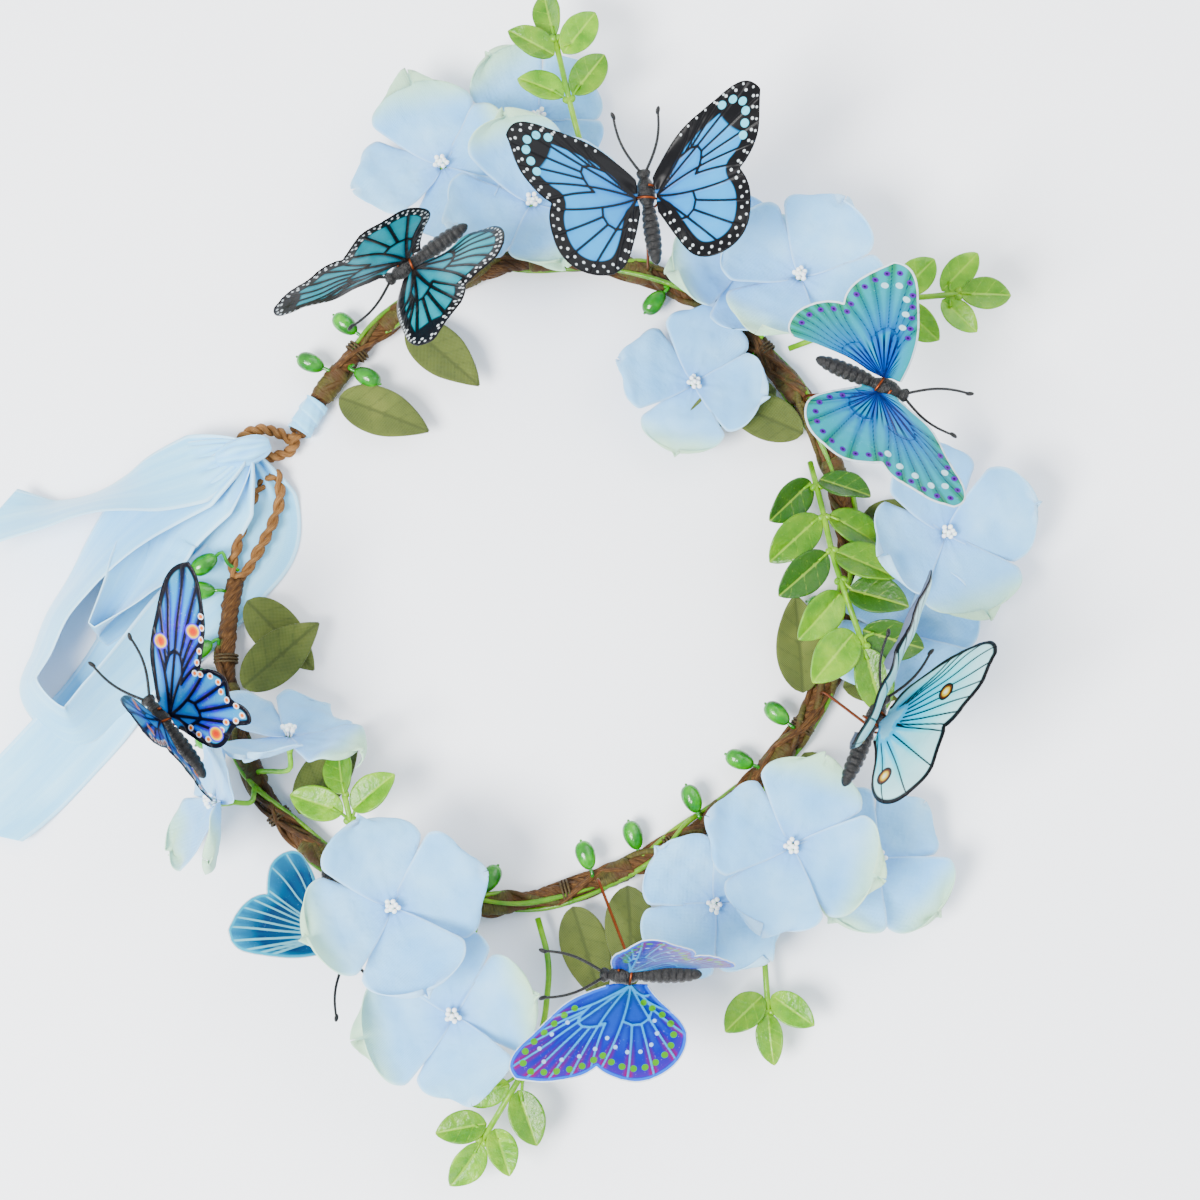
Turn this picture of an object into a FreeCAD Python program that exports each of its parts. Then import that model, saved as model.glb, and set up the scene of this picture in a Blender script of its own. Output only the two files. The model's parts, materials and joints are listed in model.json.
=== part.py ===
import FreeCAD, Part
import math
import os
import Sketcher

# Flower crown: an oval hoop of paper-wrapped wire that lies flat, with an open
# gap at the back (+Y) closed by a satin ribbon, fabric florets, plastic sprigs,
# fabric leaves and berry pips round it, and seven butterflies on soft wires.
# Millimetres, +Z up. The origin is the middle of the head opening, on the
# surface that the crown rests on. A station is an angle round the hoop in
# degrees from the back, counter-clockwise seen from above.

V = FreeCAD.Vector
doc = FreeCAD.newDocument("flower_crown")
sheet = doc.addObject("Spreadsheet::Sheet", "Dimensions")

DRIVING = {
    # hoop: mean radius, then how far it departs from a circle and where
    "hoop_mean_radius": 96.0,
    "hoop_oval": 7.0,
    "hoop_oval_turn": 78.0,
    "hoop_egg": 3.1,
    "hoop_egg_turn": 64.0,
    "hoop_shift": 2.4,
    "hoop_shift_turn": 17.0,
    "hoop_level": 4.4,
    "core_radius": 0.8,
    "rope_radius": 2.9,
    "eye_rope_radius": 1.8,
    "tape_radius": 4.4,
    "tape_length": 11.0,
    "binding_ring": 3.5,
    "binding_radius": 0.35,
    # florets: four round petals on a shallow dish
    "petal_dish": 62.0,
    "petal_thickness": 0.8,
    "petal_large": 14.6,
    "petal_large_offset": 14.6,
    "petal_small": 12.6,
    "petal_small_offset": 12.6,
    "stamen_radius": 2.4,
    "calyx_radius": 1.5,
    "calyx_length": 4.0,
    "stem_radius": 0.8,
    # leaves and berries
    "sprig_leaf_length": 14.0,
    "sprig_leaf_width": 8.6,
    "sprig_leaf_thickness": 0.8,
    "sprig_stem_radius": 0.9,
    "fabric_leaf_length": 30.0,
    "fabric_leaf_width": 15.0,
    "fabric_leaf_thickness": 0.6,
    "berry_length": 8.0,
    "berry_width": 4.8,
    "berry_reach": 5.5,
    # satin ribbon
    "ribbon_width": 25.0,
    "ribbon_thickness": 0.8,
    "knot_length": 17.0,
    "knot_width": 11.0,
    "knot_depth": 9.0,
    "knot_x": 1.0,
    "knot_y": 99.0,
    "knot_height": 13.2,
    "knot_turn": 130.0,
    # butterflies
    "thorax_radius": 2.8,
    "thorax_length": 13.0,
    "abdomen_radius": 2.6,
    "abdomen_length": 19.0,
    "abdomen_back": 11.0,
    "head_radius": 2.0,
    "head_forward": 7.4,
    "antenna_radius": 0.45,
    "antenna_length": 19.0,
    "wing_thickness": 0.4,
    "wing_root": 3.2,
    "wire_radius": 0.45,
    "wire_clearance": 0.4,
}

for line, (alias, value) in enumerate(DRIVING.items(), start=1):
    sheet.set("A%d" % line, alias)
    sheet.set("B%d" % line, str(value))
    sheet.setAlias("B%d" % line, alias)
doc.recompute()

parts = []


def cell(alias):
    """Value of one driving dimension."""
    return float(sheet.get(alias))


def bind(obj, **sizes):
    """Bind properties of an object to expressions in the sheet's aliases."""
    for prop, formula in sizes.items():
        words = formula.split(" ")
        linked = ["Dimensions." + word if word in DRIVING else word for word in words]
        obj.setExpression(prop, " ".join(linked))
    return obj


def node(name, obj, placement=None):
    """Name an object as one node of the crown."""
    obj.Label = name
    if placement is not None:
        obj.Placement = placement
    parts.append(obj)
    return obj


# ---------------------------------------------------------------- places


def hoop_radius(station):
    """Distance of the hoop's centre line from the origin at a station."""
    turn = math.radians(station)
    oval = cell("hoop_oval") * math.cos(2 * (turn - math.radians(cell("hoop_oval_turn"))))
    egg = cell("hoop_egg") * math.cos(3 * (turn - math.radians(cell("hoop_egg_turn"))))
    shift = cell("hoop_shift") * math.cos(turn - math.radians(cell("hoop_shift_turn")))
    return cell("hoop_mean_radius") + oval + egg + shift


def spot(station, outward, height):
    """Point at a station, so far outside the hoop line, at a height."""
    turn = math.radians(station)
    radius = hoop_radius(station) + outward
    return V(-radius * math.sin(turn), radius * math.cos(turn), height)


def hoop_direction(station):
    """Unit vector along the hoop at a station, counter-clockwise."""
    ahead = spot(station + 1, 0, 0) - spot(station - 1, 0, 0)
    return ahead.normalize()


def turn_about(axis, degrees):
    """Placement that turns about an axis through the origin."""
    return FreeCAD.Placement(V(0, 0, 0), FreeCAD.Rotation(axis, degrees))


def seat(station, outward, height, tilt_out=0, tilt_along=0, spin=0):
    """Placement whose X points outward, Y along the hoop and Z up, then tilted."""
    base = FreeCAD.Placement(spot(station, outward, height), FreeCAD.Rotation(V(0, 0, 1), station + 90))
    base = base.multiply(turn_about(V(0, 1, 0), tilt_out))
    base = base.multiply(turn_about(V(1, 0, 0), tilt_along))
    return base.multiply(turn_about(V(0, 0, 1), spin))


def aim(point, direction):
    """Placement at a point whose Z axis lies along a direction."""
    return FreeCAD.Placement(point, FreeCAD.Rotation(V(0, 0, 1), direction))


# ---------------------------------------------------------------- basic solids

ARC_SHARE = 0.45


def rounded_path(points):
    """Wire of straight runs joined by tangent arcs as large as the runs allow."""
    edges = []
    start = points[0]
    for before, corner, after in zip(points, points[1:], points[2:]):
        back = before - corner
        ahead = after - corner
        run = ARC_SHARE * min(back.Length, ahead.Length)
        back.normalize()
        ahead.normalize()
        enter = corner + back * run
        leave = corner + ahead * run
        half = back.getAngle(ahead) / 2
        radius = run * math.tan(half)
        inward = (back + ahead).normalize()
        middle = corner + inward * (radius / math.sin(half) - radius)
        edges.append(Part.LineSegment(start, enter).toShape())
        edges.append(Part.Arc(enter, middle, leave).toShape())
        start = leave
    edges.append(Part.LineSegment(start, points[-1]).toShape())
    return Part.Wire(edges)


def tube(name, points, radius):
    """Round bar along a path, its radius one of the driving dimensions."""
    path = doc.addObject("Part::Feature", name + "_path")
    path.Shape = rounded_path(points)
    section = doc.addObject("Part::Circle", name + "_section")
    bind(section, Radius=radius)
    section.Placement = aim(points[0], points[1] - points[0])
    sweep = doc.addObject("Part::Sweep", name + "_tube")
    sweep.Sections = [section]
    sweep.Spine = (path, ["Edge%d" % (number + 1) for number in range(len(path.Shape.Edges))])
    sweep.Solid = True
    return sweep


def rod(name, start, end, radius):
    """Straight round bar between two points."""
    bar = doc.addObject("Part::Cylinder", name)
    bind(bar, Radius=radius)
    bar.Height = (end - start).Length
    bar.Placement = aim(start, end - start)
    return bar


def group(name, pieces):
    """Separate solids that share one node."""
    together = doc.addObject("Part::Compound", name + "_group")
    together.Links = pieces
    return node(name, together)


def cut(name, base, tool):
    result = doc.addObject("Part::Cut", name + "_cut")
    result.Base = base
    result.Tool = tool
    return result


def leaf(name, kind, placement):
    """Pointed flat leaf: two equal discs crossed, base at its origin, tip on +X."""
    across = "%s_width" % kind
    along = "%s_length" % kind
    bow = "( %s ^ 2 / 4 + %s ^ 2 / 4 ) / %s" % (along, across, across)
    discs = []
    for side in (-1, 1):
        disc = doc.addObject("Part::Cylinder", "%s_disc" % name)
        bind(disc, Radius=bow, Height="%s_thickness" % kind)
        wide = cell(across)
        radius = (cell(along) ** 2 / 4 + wide ** 2 / 4) / wide
        disc.Placement.Base = V(cell(along) / 2, side * (radius - wide / 2), -cell("%s_thickness" % kind) / 2)
        discs.append(disc)
    blade = doc.addObject("Part::Common", name)
    blade.Base, blade.Tool = discs
    blade.Placement = placement
    return blade


# ---------------------------------------------------------------- hoop

HOOP_START = 22
HOOP_END = 351
HOOP_STEP = 7


def hoop_points():
    level = cell("hoop_level")
    return [spot(station, 0, level) for station in range(HOOP_START, HOOP_END + 1, HOOP_STEP)]


def build_hoop():
    """Steel core, the twisted paper round it, and the two eyes at its ends."""
    core = tube("core", hoop_points(), "core_radius")
    node("hoop_core_wire", core)
    wrapped = tube("rope", hoop_points(), "rope_radius")
    bore = tube("rope_bore", hoop_points(), "core_radius")
    node("hoop_paper_rope", cut("rope", wrapped, bore))


# loop outline as shares of its length and of its half width
EYE_SHAPE = ((0.25, 0.75), (0.6, 1.0), (0.88, 0.75), (1, 0), (0.88, -0.75), (0.6, -1.0), (0.25, -0.75))
EYE_FOOT_GAP = 0.2
EYE_FOOT_SHARE = 0.9

# each eye: hoop station, how far past the rope it starts, its direction in the
# plane of the crown, length, half width
EYES = (
    (HOOP_START, 1.2, (1.0, 0.04), 35.0, 4.6),
    (HOOP_END, 3.6, (-0.37, 0.93), 16.5, 5.0),
)


def eye_points(station, gap, heading, length, half_width):
    """Drop-shaped loop past one end of the hoop."""
    along = V(heading[0], heading[1], 0).normalize()
    aside = V(-along.y, along.x, 0)
    inward = hoop_direction(station) * (1 if station == HOOP_START else -1)
    start = spot(station, 0, cell("hoop_level")) - inward * gap
    foot = aside * (EYE_FOOT_SHARE * (cell("eye_rope_radius") + EYE_FOOT_GAP))
    loop = [start + along * (length * forward) + aside * (half_width * sideways) for forward, sideways in EYE_SHAPE]
    return [start + foot] + loop + [start - foot]


def build_eyes():
    group("ribbon_eyes", [tube("eye_%d" % number, eye_points(*eye), "eye_rope_radius")
                          for number, eye in enumerate(EYES)])


TAPE_STATIONS = (43, 56, 72, 88, 104, 126, 149, 163, 186, 204, 222, 240, 258, 276, 292, 308, 322, 338)


def build_tape():
    """Short sleeves of floral tape on the rope; their undersides carry the crown."""
    sleeves = []
    for station in TAPE_STATIONS:
        sleeve = doc.addObject("Part::Cylinder", "tape_sleeve")
        bind(sleeve, Radius="tape_radius", Height="tape_length")
        direction = hoop_direction(station)
        start = spot(station, 0, cell("hoop_level")) - direction * (cell("tape_length") / 2)
        sleeve.Placement = aim(start, direction)
        sleeves.append(sleeve)
    sleeves_all = doc.addObject("Part::Compound", "tape_sleeves")
    sleeves_all.Links = sleeves
    room = tube("tape_bore", hoop_points(), "rope_radius")
    node("floral_tape_wraps", cut("tape", sleeves_all, room))


BINDING_STATIONS = (36, 64, 96, 116, 137, 172, 195, 213, 249, 284, 315, 331)
BINDING_TURNS = 3
BINDING_PITCH = 1.0


def build_bindings():
    """Thin wire turns that tie the stems down, three to a place."""
    rings = []
    for station in BINDING_STATIONS:
        for turn in range(BINDING_TURNS):
            ring = doc.addObject("Part::Torus", "binding_ring")
            bind(ring, Radius1="binding_ring", Radius2="binding_radius")
            direction = hoop_direction(station)
            shift = (turn - (BINDING_TURNS - 1) / 2) * BINDING_PITCH
            ring.Placement = aim(spot(station, 0, cell("hoop_level")) + direction * shift, direction)
            rings.append(ring)
    group("binding_wires", rings)


# ---------------------------------------------------------------- florets

# name: station, outward, height, tilt outward, tilt along, spin, size
FLORETS = {
    "floret_top_front": (294, 10, 30, 8, 8, 20, "large"),
    "floret_top_back": (306, 32, 17, 14, -6, 5, "large"),
    "floret_top_outer": (293, 45, 6, 4, 0, 40, "small"),
    "floret_upper_right_front": (251, 18, 31, 8, -6, 10, "large"),
    "floret_upper_right_back": (260, 12, 18, 6, 4, 45, "small"),
    "floret_upper_right_inner": (255, -24, 11, 2, 4, 23, "small"),
    "floret_right_outer": (208, 28, 15, 14, 6, 15, "large"),
    "floret_right_inner": (193, 18, 8, 4, 0, 40, "small"),
    "floret_lower_right_front": (153, 22, 31, 4, 4, 30, "large"),
    "floret_lower_right_outer": (161, 42, 15, 12, -6, 0, "small"),
    "floret_lower_right_side": (139, 22, 17, 12, 10, 20, "small"),
    "floret_bottom_front": (101, 34, 26, 4, 4, 25, "large"),
    "floret_bottom_back": (89, 6, 38, -4, -4, 45, "large"),
    "floret_left_outer": (58, 12, 27, 62, 34, 20, "small"),
    "floret_left_inner": (56, -16, 27, -46, 46, 10, "small"),
}
PETALS = 4
STEM_OVERLAP = 0.6
FABRIC_CLEARANCE = 0.1
TUFT_FOOT_SHARE = 0.7
TUFT_HEIGHT_SHARE = 1.2
LOBE_DEPTH_SHARE = 1.3

# hoop station at which each floret's stem is taped down; one floret is taped by its calyx alone
STEM_FEET = {
    "floret_top_front": 296, "floret_top_back": 301, "floret_top_outer": 287,
    "floret_upper_right_back": 265, "floret_upper_right_inner": 262,
    "floret_right_outer": 210, "floret_right_inner": 197,
    "floret_lower_right_front": 154, "floret_lower_right_outer": 157, "floret_lower_right_side": 141,
    "floret_bottom_front": 110, "floret_bottom_back": 101, "floret_left_outer": 62, "floret_left_inner": 52,
}


def build_floret(name, station, outward, height, tilt_out, tilt_along, spin, size):
    """Dished fabric floret: a thin spherical shell trimmed to four round petals."""
    shell_sides = []
    for sign in ("+", "-"):
        ball = doc.addObject("Part::Sphere", name + "_ball")
        bind(ball, Radius="petal_dish %s petal_thickness / 2" % sign)
        shell_sides.append(ball)
    shell = cut(name + "_shell", *shell_sides)
    depth = cell("petal_dish")
    lobes = []
    for number in range(PETALS):
        turn = math.radians(360 / PETALS * number)
        lobe = doc.addObject("Part::Cylinder", name + "_lobe")
        bind(lobe, Radius="petal_" + size)
        offset = cell("petal_%s_offset" % size)
        lobe.Height = depth
        lobe.Placement.Base = V(offset * math.cos(turn), offset * math.sin(turn), -depth * LOBE_DEPTH_SHARE)
        lobes.append(lobe)
    outline = doc.addObject("Part::MultiFuse", name + "_outline")
    outline.Shapes = lobes
    petals = doc.addObject("Part::Common", name + "_petals")
    petals.Base = shell
    petals.Tool = outline
    rim = seat(station, outward, height, tilt_out, tilt_along, spin)
    node(name, petals, rim.multiply(FreeCAD.Placement(V(0, 0, depth), FreeCAD.Rotation())))


def build_florets():
    stamens = []
    stems = []
    for name, (station, outward, height, tilt_out, tilt_along, spin, size) in FLORETS.items():
        build_floret(name, station, outward, height, tilt_out, tilt_along, spin, size)
        centre = seat(station, outward, height, tilt_out, tilt_along, spin)
        axis = centre.Rotation.multVec(V(0, 0, 1))
        half = cell("petal_thickness") / 2 + FABRIC_CLEARANCE
        tuft = doc.addObject("Part::Cone", "stamen_tuft")
        bind(tuft, Radius1="stamen_radius * %s" % TUFT_FOOT_SHARE, Radius2="stamen_radius")
        bind(tuft, Height="stamen_radius * %s" % TUFT_HEIGHT_SHARE)
        tuft.Placement = aim(centre.Base + axis * (half + FABRIC_CLEARANCE), axis)
        stamens.append(tuft)
        calyx = doc.addObject("Part::Cone", "calyx")
        bind(calyx, Radius1="stem_radius", Radius2="calyx_radius", Height="calyx_length")
        calyx_base = centre.Base - axis * (half + cell("calyx_length"))
        calyx.Placement = aim(calyx_base, axis)
        if name in STEM_FEET:
            foot = spot(STEM_FEET[name], 0, cell("hoop_level") + cell("tape_radius") + cell("wire_clearance"))
            stem = rod("stem", calyx_base + axis * STEM_OVERLAP, foot, "stem_radius")
            moulded = doc.addObject("Part::MultiFuse", "calyx_and_stem")
            moulded.Shapes = [calyx, stem]
            stems.append(moulded)
        else:
            stems.append(calyx)
    group("floret_stamens", stamens)
    group("floret_calyces", stems)


# ---------------------------------------------------------------- greenery

# name: stem route as (station, outward, height), leaf pairs, leaf spread from the stem
SPRIGS = {
    "sprig_top": ([(281, 5, 7), (284, 15, 19), (288, 34, 26), (291, 62, 30)], 2, 50),
    "sprig_upper_right": ([(246, 6, 7), (243, 18, 12), (241, 36, 20), (236, 54, 26)], 2, 45),
    "sprig_right": ([(226, -7, 9), (216, -8, 15), (205, -7, 21), (188, 6, 26)], 5, 55),
    "sprig_lower_right": ([(148, 6, 7), (146, 20, 6), (143, 38, 6), (139, 57, 10)], 1, 50),
    "sprig_bottom": ([(111, 6, 7), (113, 20, 10), (112, 42, 12), (106, 70, 16)], 2, 50),
    "sprig_left": ([(78, -7, 8), (76, -11, 15), (71, -18, 21)], 1, 60),
}
LEAF_GAP = 0.5
PAIR_START = 5.0
PAIR_PITCH = 13.0
PAIR_RISE = 12.0


def back_from_tip(points, distance):
    """Point and direction a distance back from the end of a run of points."""
    left = distance
    for second, first in zip(points[::-1], points[-2::-1]):
        length = (second - first).Length
        if left <= length:
            break
        left -= length
    direction = (second - first).normalize()
    return second - direction * min(left, length), direction


def build_sprig(name, route, pairs, spread):
    """Glossy plastic sprig: a round stem with pairs of pointed leaves and a tip leaf."""
    points = [spot(*place) for place in route]
    pieces = [tube(name + "_stem", points, "sprig_stem_radius")]
    lift = FreeCAD.Rotation(V(0, 1, 0), -PAIR_RISE)
    for pair in range(pairs):
        middle, direction = back_from_tip(points, PAIR_START + PAIR_PITCH * pair)
        course = math.degrees(math.atan2(direction.y, direction.x))
        for side in (-1, 1):
            aside = FreeCAD.Rotation(V(0, 0, 1), course + side * 90).multVec(V(1, 0, 0))
            base = middle + aside * (cell("sprig_stem_radius") + LEAF_GAP)
            heading = FreeCAD.Rotation(V(0, 0, 1), course + side * spread)
            pieces.append(leaf(name + "_leaf", "sprig_leaf", FreeCAD.Placement(base, heading.multiply(lift))))
    ahead = (points[-1] - points[-2]).normalize()
    heading = FreeCAD.Rotation(V(0, 0, 1), math.degrees(math.atan2(ahead.y, ahead.x)))
    pieces.append(leaf(name + "_tip", "sprig_leaf", FreeCAD.Placement(points[-1] + ahead * LEAF_GAP, heading)))
    group(name, pieces)


# station, outward, height of the base, heading from outward (+ is counter-clockwise), tip lift
FABRIC_LEAVES = (
    (320, -5, 6, 200, 8),
    (340, -5, 6, 200, 5),
    (26, -5, 6, 130, 4),
    (42, -5, 7, 200, 8),
    (66, -5, 6, 190, 6),
    (117, 5, 8, 12, 10),
    (127, 5, 12, -12, 6),
    (152, 5, 7, 20, 4),
    (178, -5, 7, 118, 6),
    (168, 5, 6, -30, 3),
    (242, -5, 6, 160, 6),
    (232, -5, 7, 128, 6),
    (214, 5, 6, -30, 2),
    (182, 5, 6, 30, 2),
)

# station, outward, height, heading from outward
BERRIES = (
    (334, -4, 7, 200),
    (338, 4, 7, 20),
    (329, 4, 6, 15),
    (18, 7, 9, 40),
    (24, 5, 8, 0),
    (33, 4, 8, 20),
    (39, 4, 5, -30),
    (47, 4, 6, 10),
    (270, -4, 7, 160),
    (250, -4, 6, 170),
    (196, -4, 7, 170),
    (191, -4, 6, 195),
    (171, -4, 8, 170),
    (160, -4, 6, 200),
    (145, -4, 7, 170),
    (131, -4, 5, 180),
    (121, -4, 8, 190),
    (101, -4, 7, 160),
)


def flat_heading(station, heading):
    return FreeCAD.Rotation(V(0, 0, 1), station + 90 + heading)


def build_greenery():
    for name, (route, pairs, spread) in SPRIGS.items():
        build_sprig(name, route, pairs, spread)
    leaves = []
    for station, outward, height, heading, lift in FABRIC_LEAVES:
        turn = flat_heading(station, heading).multiply(FreeCAD.Rotation(V(0, 1, 0), -lift))
        leaves.append(leaf("fabric_leaf", "fabric_leaf", FreeCAD.Placement(spot(station, outward, height), turn)))
    group("fabric_leaves", leaves)
    berries = []
    for station, outward, height, heading in BERRIES:
        turn = flat_heading(station, heading)
        direction = turn.multVec(V(1, 0, 0))
        pip = doc.addObject("Part::Ellipsoid", "berry")
        bind(pip, Radius1="berry_width / 2", Radius2="berry_length / 2", Radius3="berry_width / 2")
        pip.Placement = FreeCAD.Placement(spot(station, outward, height) + direction * cell("berry_reach"), turn)
        berries.append(pip)
    group("berry_pips", berries)


# ---------------------------------------------------------------- ribbon

# each band: name, height, its middle line in the plane of the crown
RIBBON_BANDS = (
    ("loop_return", 0.2, ((-8, 84), (-36, 90), (-66, 101), (-88, 110), (-106, 119))),
    ("tail_lower", 1.7, ((-16, 104), (-50, 105), (-84, 110), (-110, 118), (-148, 137))),
    ("loop_inner", 3.4, ((-22, 112), (-40, 113), (-56, 115), (-72, 119))),
    ("loop_outer", 6.6, ((-14, 114), (-36, 126), (-66, 132), (-98, 130))),
    ("tail_upper", 13.5, ((-12, 114), (-24, 128), (-38, 145), (-52, 168))),
)


def band(name, height, line):
    """Flat strip of ribbon along a line, as wide as the ribbon."""
    points = [V(x, y, height) for x, y in line]
    sides = ([], [])
    half = cell("ribbon_width") / 2
    for number, point in enumerate(points):
        before = points[max(number - 1, 0)]
        after = points[min(number + 1, len(points) - 1)]
        ahead = (after - before).normalize()
        across = V(-ahead.y, ahead.x, 0)
        sides[0].append(point + across * half)
        sides[1].append(point - across * half)
    outline = doc.addObject("Part::Polygon", name + "_outline")
    outline.Nodes = sides[0] + sides[1][::-1]
    outline.Close = True
    strip = doc.addObject("Part::Extrusion", name + "_strip")
    strip.Base = outline
    strip.DirMode = "Custom"
    strip.Dir = V(0, 0, 1)
    strip.Solid = True
    bind(strip, LengthFwd="ribbon_thickness")
    return strip


def build_ribbon():
    """One satin strip, shown as its knot and as the flat stretches of its bow."""
    knot = doc.addObject("Part::Ellipsoid", "knot")
    bind(knot, Radius1="knot_depth / 2", Radius2="knot_length / 2", Radius3="knot_width / 2")
    place = V(cell("knot_x"), cell("knot_y"), cell("knot_height"))
    knot.Placement = FreeCAD.Placement(place, FreeCAD.Rotation(V(0, 0, 1), cell("knot_turn")))
    node("ribbon_knot", knot)
    group("ribbon_bow", [band(*row) for row in RIBBON_BANDS])


# ---------------------------------------------------------------- butterflies

# name: station, outward, height, heading in the plane, nose up, right and left wing lift,
# right and left wing sweep, scale, wire station, wing cut
BUTTERFLIES = {
    "butterfly_top": (276, 9, 50, -60, 0, 25, 20, 4, 0, 1.05, 274, "round"),
    "butterfly_upper_left": (316, 0, 43, 55, -12, 82, 50, 28, -22, 1.05, 315, "round"),
    "butterfly_upper_right": (229, 15, 48, 180, -6, 30, 58, 16, -42, 1.05, 237, "round"),
    "butterfly_right": (175, 17, 44, -93, 0, 58, 92, 8, 35, 1.1, 179, "round"),
    "butterfly_bottom": (124, 31, 37, 22, -8, 82, 18, -45, 20, 1.0, 122, "round"),
    "butterfly_lower_left": (83, 17, 15, 127, 6, 44, 4, -32, 0, 0.9, 79, "round"),
    "butterfly_left": (46, 16, 45, -31, 0, 34, 86, 0, -40, 1.0, 45, "swallow"),
}

# outer edges of a right wing, root first and last; X outward, Y towards the head
WING_CUTS = {
    "round": (
        ((0, 5), (12, 15), (25, 20.5), (36, 22.5), (39.5, 19)),
        ((39.5, 19), (37, 10), (33, 3), (28, -1)),
        ((28, -1), (29.5, -9), (26.5, -17), (19, -22), (9, -21), (3.5, -13), (0, -5)),
    ),
    "swallow": (
        ((0, 5), (9, 17), (22, 26), (35, 30), (40, 28)),
        ((40, 28), (37, 19), (29, 10), (20, 3)),
        ((20, 3), (24, 0), (25, -5), (23, -9), (25, -14), (23, -18), (18, -16), (13, -17), (8, -17), (4, -12), (0, -5)),
    ),
}


FEELER_ROOT = (0.6, 8.2, 0.4)
FEELER_WAY = (0.36, 1, 0.3)
WING_ROOT_MARGIN = 1.2
WING_WIDTH_SHARE = 0.93
WIRE_UNDER_GAP = 0.15
WIRE_ARRIVES = 7
WIRE_KNEE = 6


def butterfly_frame(station, outward, height, heading, nose_up):
    """Placement with Y towards the head, X to the right wing and Z out of the back."""
    frame = FreeCAD.Placement(spot(station, outward, height), FreeCAD.Rotation(V(0, 0, 1), heading))
    return frame.multiply(turn_about(V(1, 0, 0), nose_up))


def build_wing(name, side, cut_name, scale, sweep, frame, lift):
    """Thin printed wing: a spline outline padded to the sheet's thickness."""
    body = doc.addObject("PartDesign::Body", name + "_body")
    sketch = body.newObject("Sketcher::SketchObject", name + "_sketch")
    plane = [item for item in body.Origin.OriginFeatures if item.Role == "XY_Plane"][0]
    sketch.AttachmentSupport = [(plane, "")]
    sketch.MapMode = "FlatFace"
    turn = math.radians(sweep)
    root = cell("wing_root")
    curves = []
    for stretch in WING_CUTS[cut_name]:
        points = []
        for out, fore in stretch:
            if out > 0:
                swung = out * math.cos(turn) - fore * math.sin(turn)
                fore = out * math.sin(turn) + fore * math.cos(turn)
                out = max(swung, WING_ROOT_MARGIN)
            points.append(V(side * (root + out * scale * WING_WIDTH_SHARE), fore * scale, 0))
        curves.append(points)
    for points in curves:
        spline = Part.BSplineCurve()
        spline.interpolate(points)
        sketch.addGeometry(spline, False)
    sketch.addGeometry(Part.LineSegment(curves[-1][-1], curves[0][0]), False)
    for number in range(4):
        sketch.addConstraint(Sketcher.Constraint("Coincident", number, 2, (number + 1) % 4, 1))
    pad = body.newObject("PartDesign::Pad", name + "_pad")
    pad.Profile = sketch
    pad.Midplane = True
    bind(pad, Length="wing_thickness")
    body.Tip = pad
    hinge = frame.multiply(turn_about(V(0, 1, 0), -side * lift))
    node(name, body, hinge)


def build_butterfly_body(name, frame):
    """Moulded body: thorax, abdomen, head and two feelers in one piece."""
    thorax = doc.addObject("Part::Ellipsoid", name + "_thorax")
    bind(thorax, Radius1="thorax_length / 2", Radius2="thorax_radius", Radius3="thorax_radius")
    thorax.Placement = aim(V(0, 0, 0), V(0, 1, 0))
    abdomen = doc.addObject("Part::Ellipsoid", name + "_abdomen")
    bind(abdomen, Radius1="abdomen_length / 2", Radius2="abdomen_radius", Radius3="abdomen_radius")
    abdomen.Placement = aim(V(0, -cell("abdomen_back"), 0), V(0, 1, 0))
    head = doc.addObject("Part::Sphere", name + "_head")
    bind(head, Radius="head_radius")
    head.Placement.Base = V(0, cell("head_forward"), 0)
    feelers = []
    for side in (-1, 1):
        feeler = doc.addObject("Part::Cylinder", name + "_feeler")
        bind(feeler, Radius="antenna_radius", Height="antenna_length")
        feeler.Placement = aim(V(side * FEELER_ROOT[0], *FEELER_ROOT[1:]), V(side * FEELER_WAY[0], *FEELER_WAY[1:]))
        feelers.append(feeler)
    whole = doc.addObject("Part::MultiFuse", name + "_whole")
    whole.Shapes = [thorax, abdomen, head] + feelers
    node(name + "_body", whole, frame)


def build_butterfly(name, station, outward, height, heading, nose_up, lift_right, lift_left,
                    sweep_right, sweep_left, scale, wire_station, cut_name):
    frame = butterfly_frame(station, outward, height, heading, nose_up)
    build_butterfly_body(name, frame)
    build_wing(name + "_wing_right", 1, cut_name, scale, sweep_right, frame, lift_right)
    build_wing(name + "_wing_left", -1, cut_name, scale, sweep_left, frame, lift_left)
    under = frame.multVec(V(0, 0, -cell("thorax_radius") - cell("wire_radius") - WIRE_UNDER_GAP))
    below = frame.multVec(V(0, 0, -cell("thorax_radius") - WIRE_ARRIVES))
    root = spot(wire_station, 0, cell("hoop_level") + cell("tape_radius") + cell("wire_clearance"))
    knee = V(root.x, root.y, root.z + WIRE_KNEE)
    wire = tube(name + "_wire", [root, knee, below, under], "wire_radius")
    node(name + "_wire", wire)


build_hoop()
build_eyes()
build_tape()
build_bindings()
build_florets()
build_greenery()
build_ribbon()
for name, row in BUTTERFLIES.items():
    build_butterfly(name, *row)
doc.recompute()

# ---------------------------------------------------------------- checks and files

for obj in doc.Objects:
    if "Invalid" in obj.State or "Error" in obj.State:
        raise RuntimeError("%s did not build" % obj.Label)
for obj in parts:
    if obj.Shape.isNull() or not obj.Shape.isValid() or not obj.Shape.Solids:
        raise RuntimeError("%s has no valid solid" % obj.Label)

os.makedirs("parts", exist_ok=True)
for obj in parts:
    obj.Shape.exportStep("parts/%s.step" % obj.Label)
print("%d nodes written" % len(parts))
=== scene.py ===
"""Flower crown: the looks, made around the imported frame. Metres, +Z up."""
import json
import math

import bpy
import numpy as np
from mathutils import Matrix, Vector
from mathutils.geometry import delaunay_2d_cdt


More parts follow.
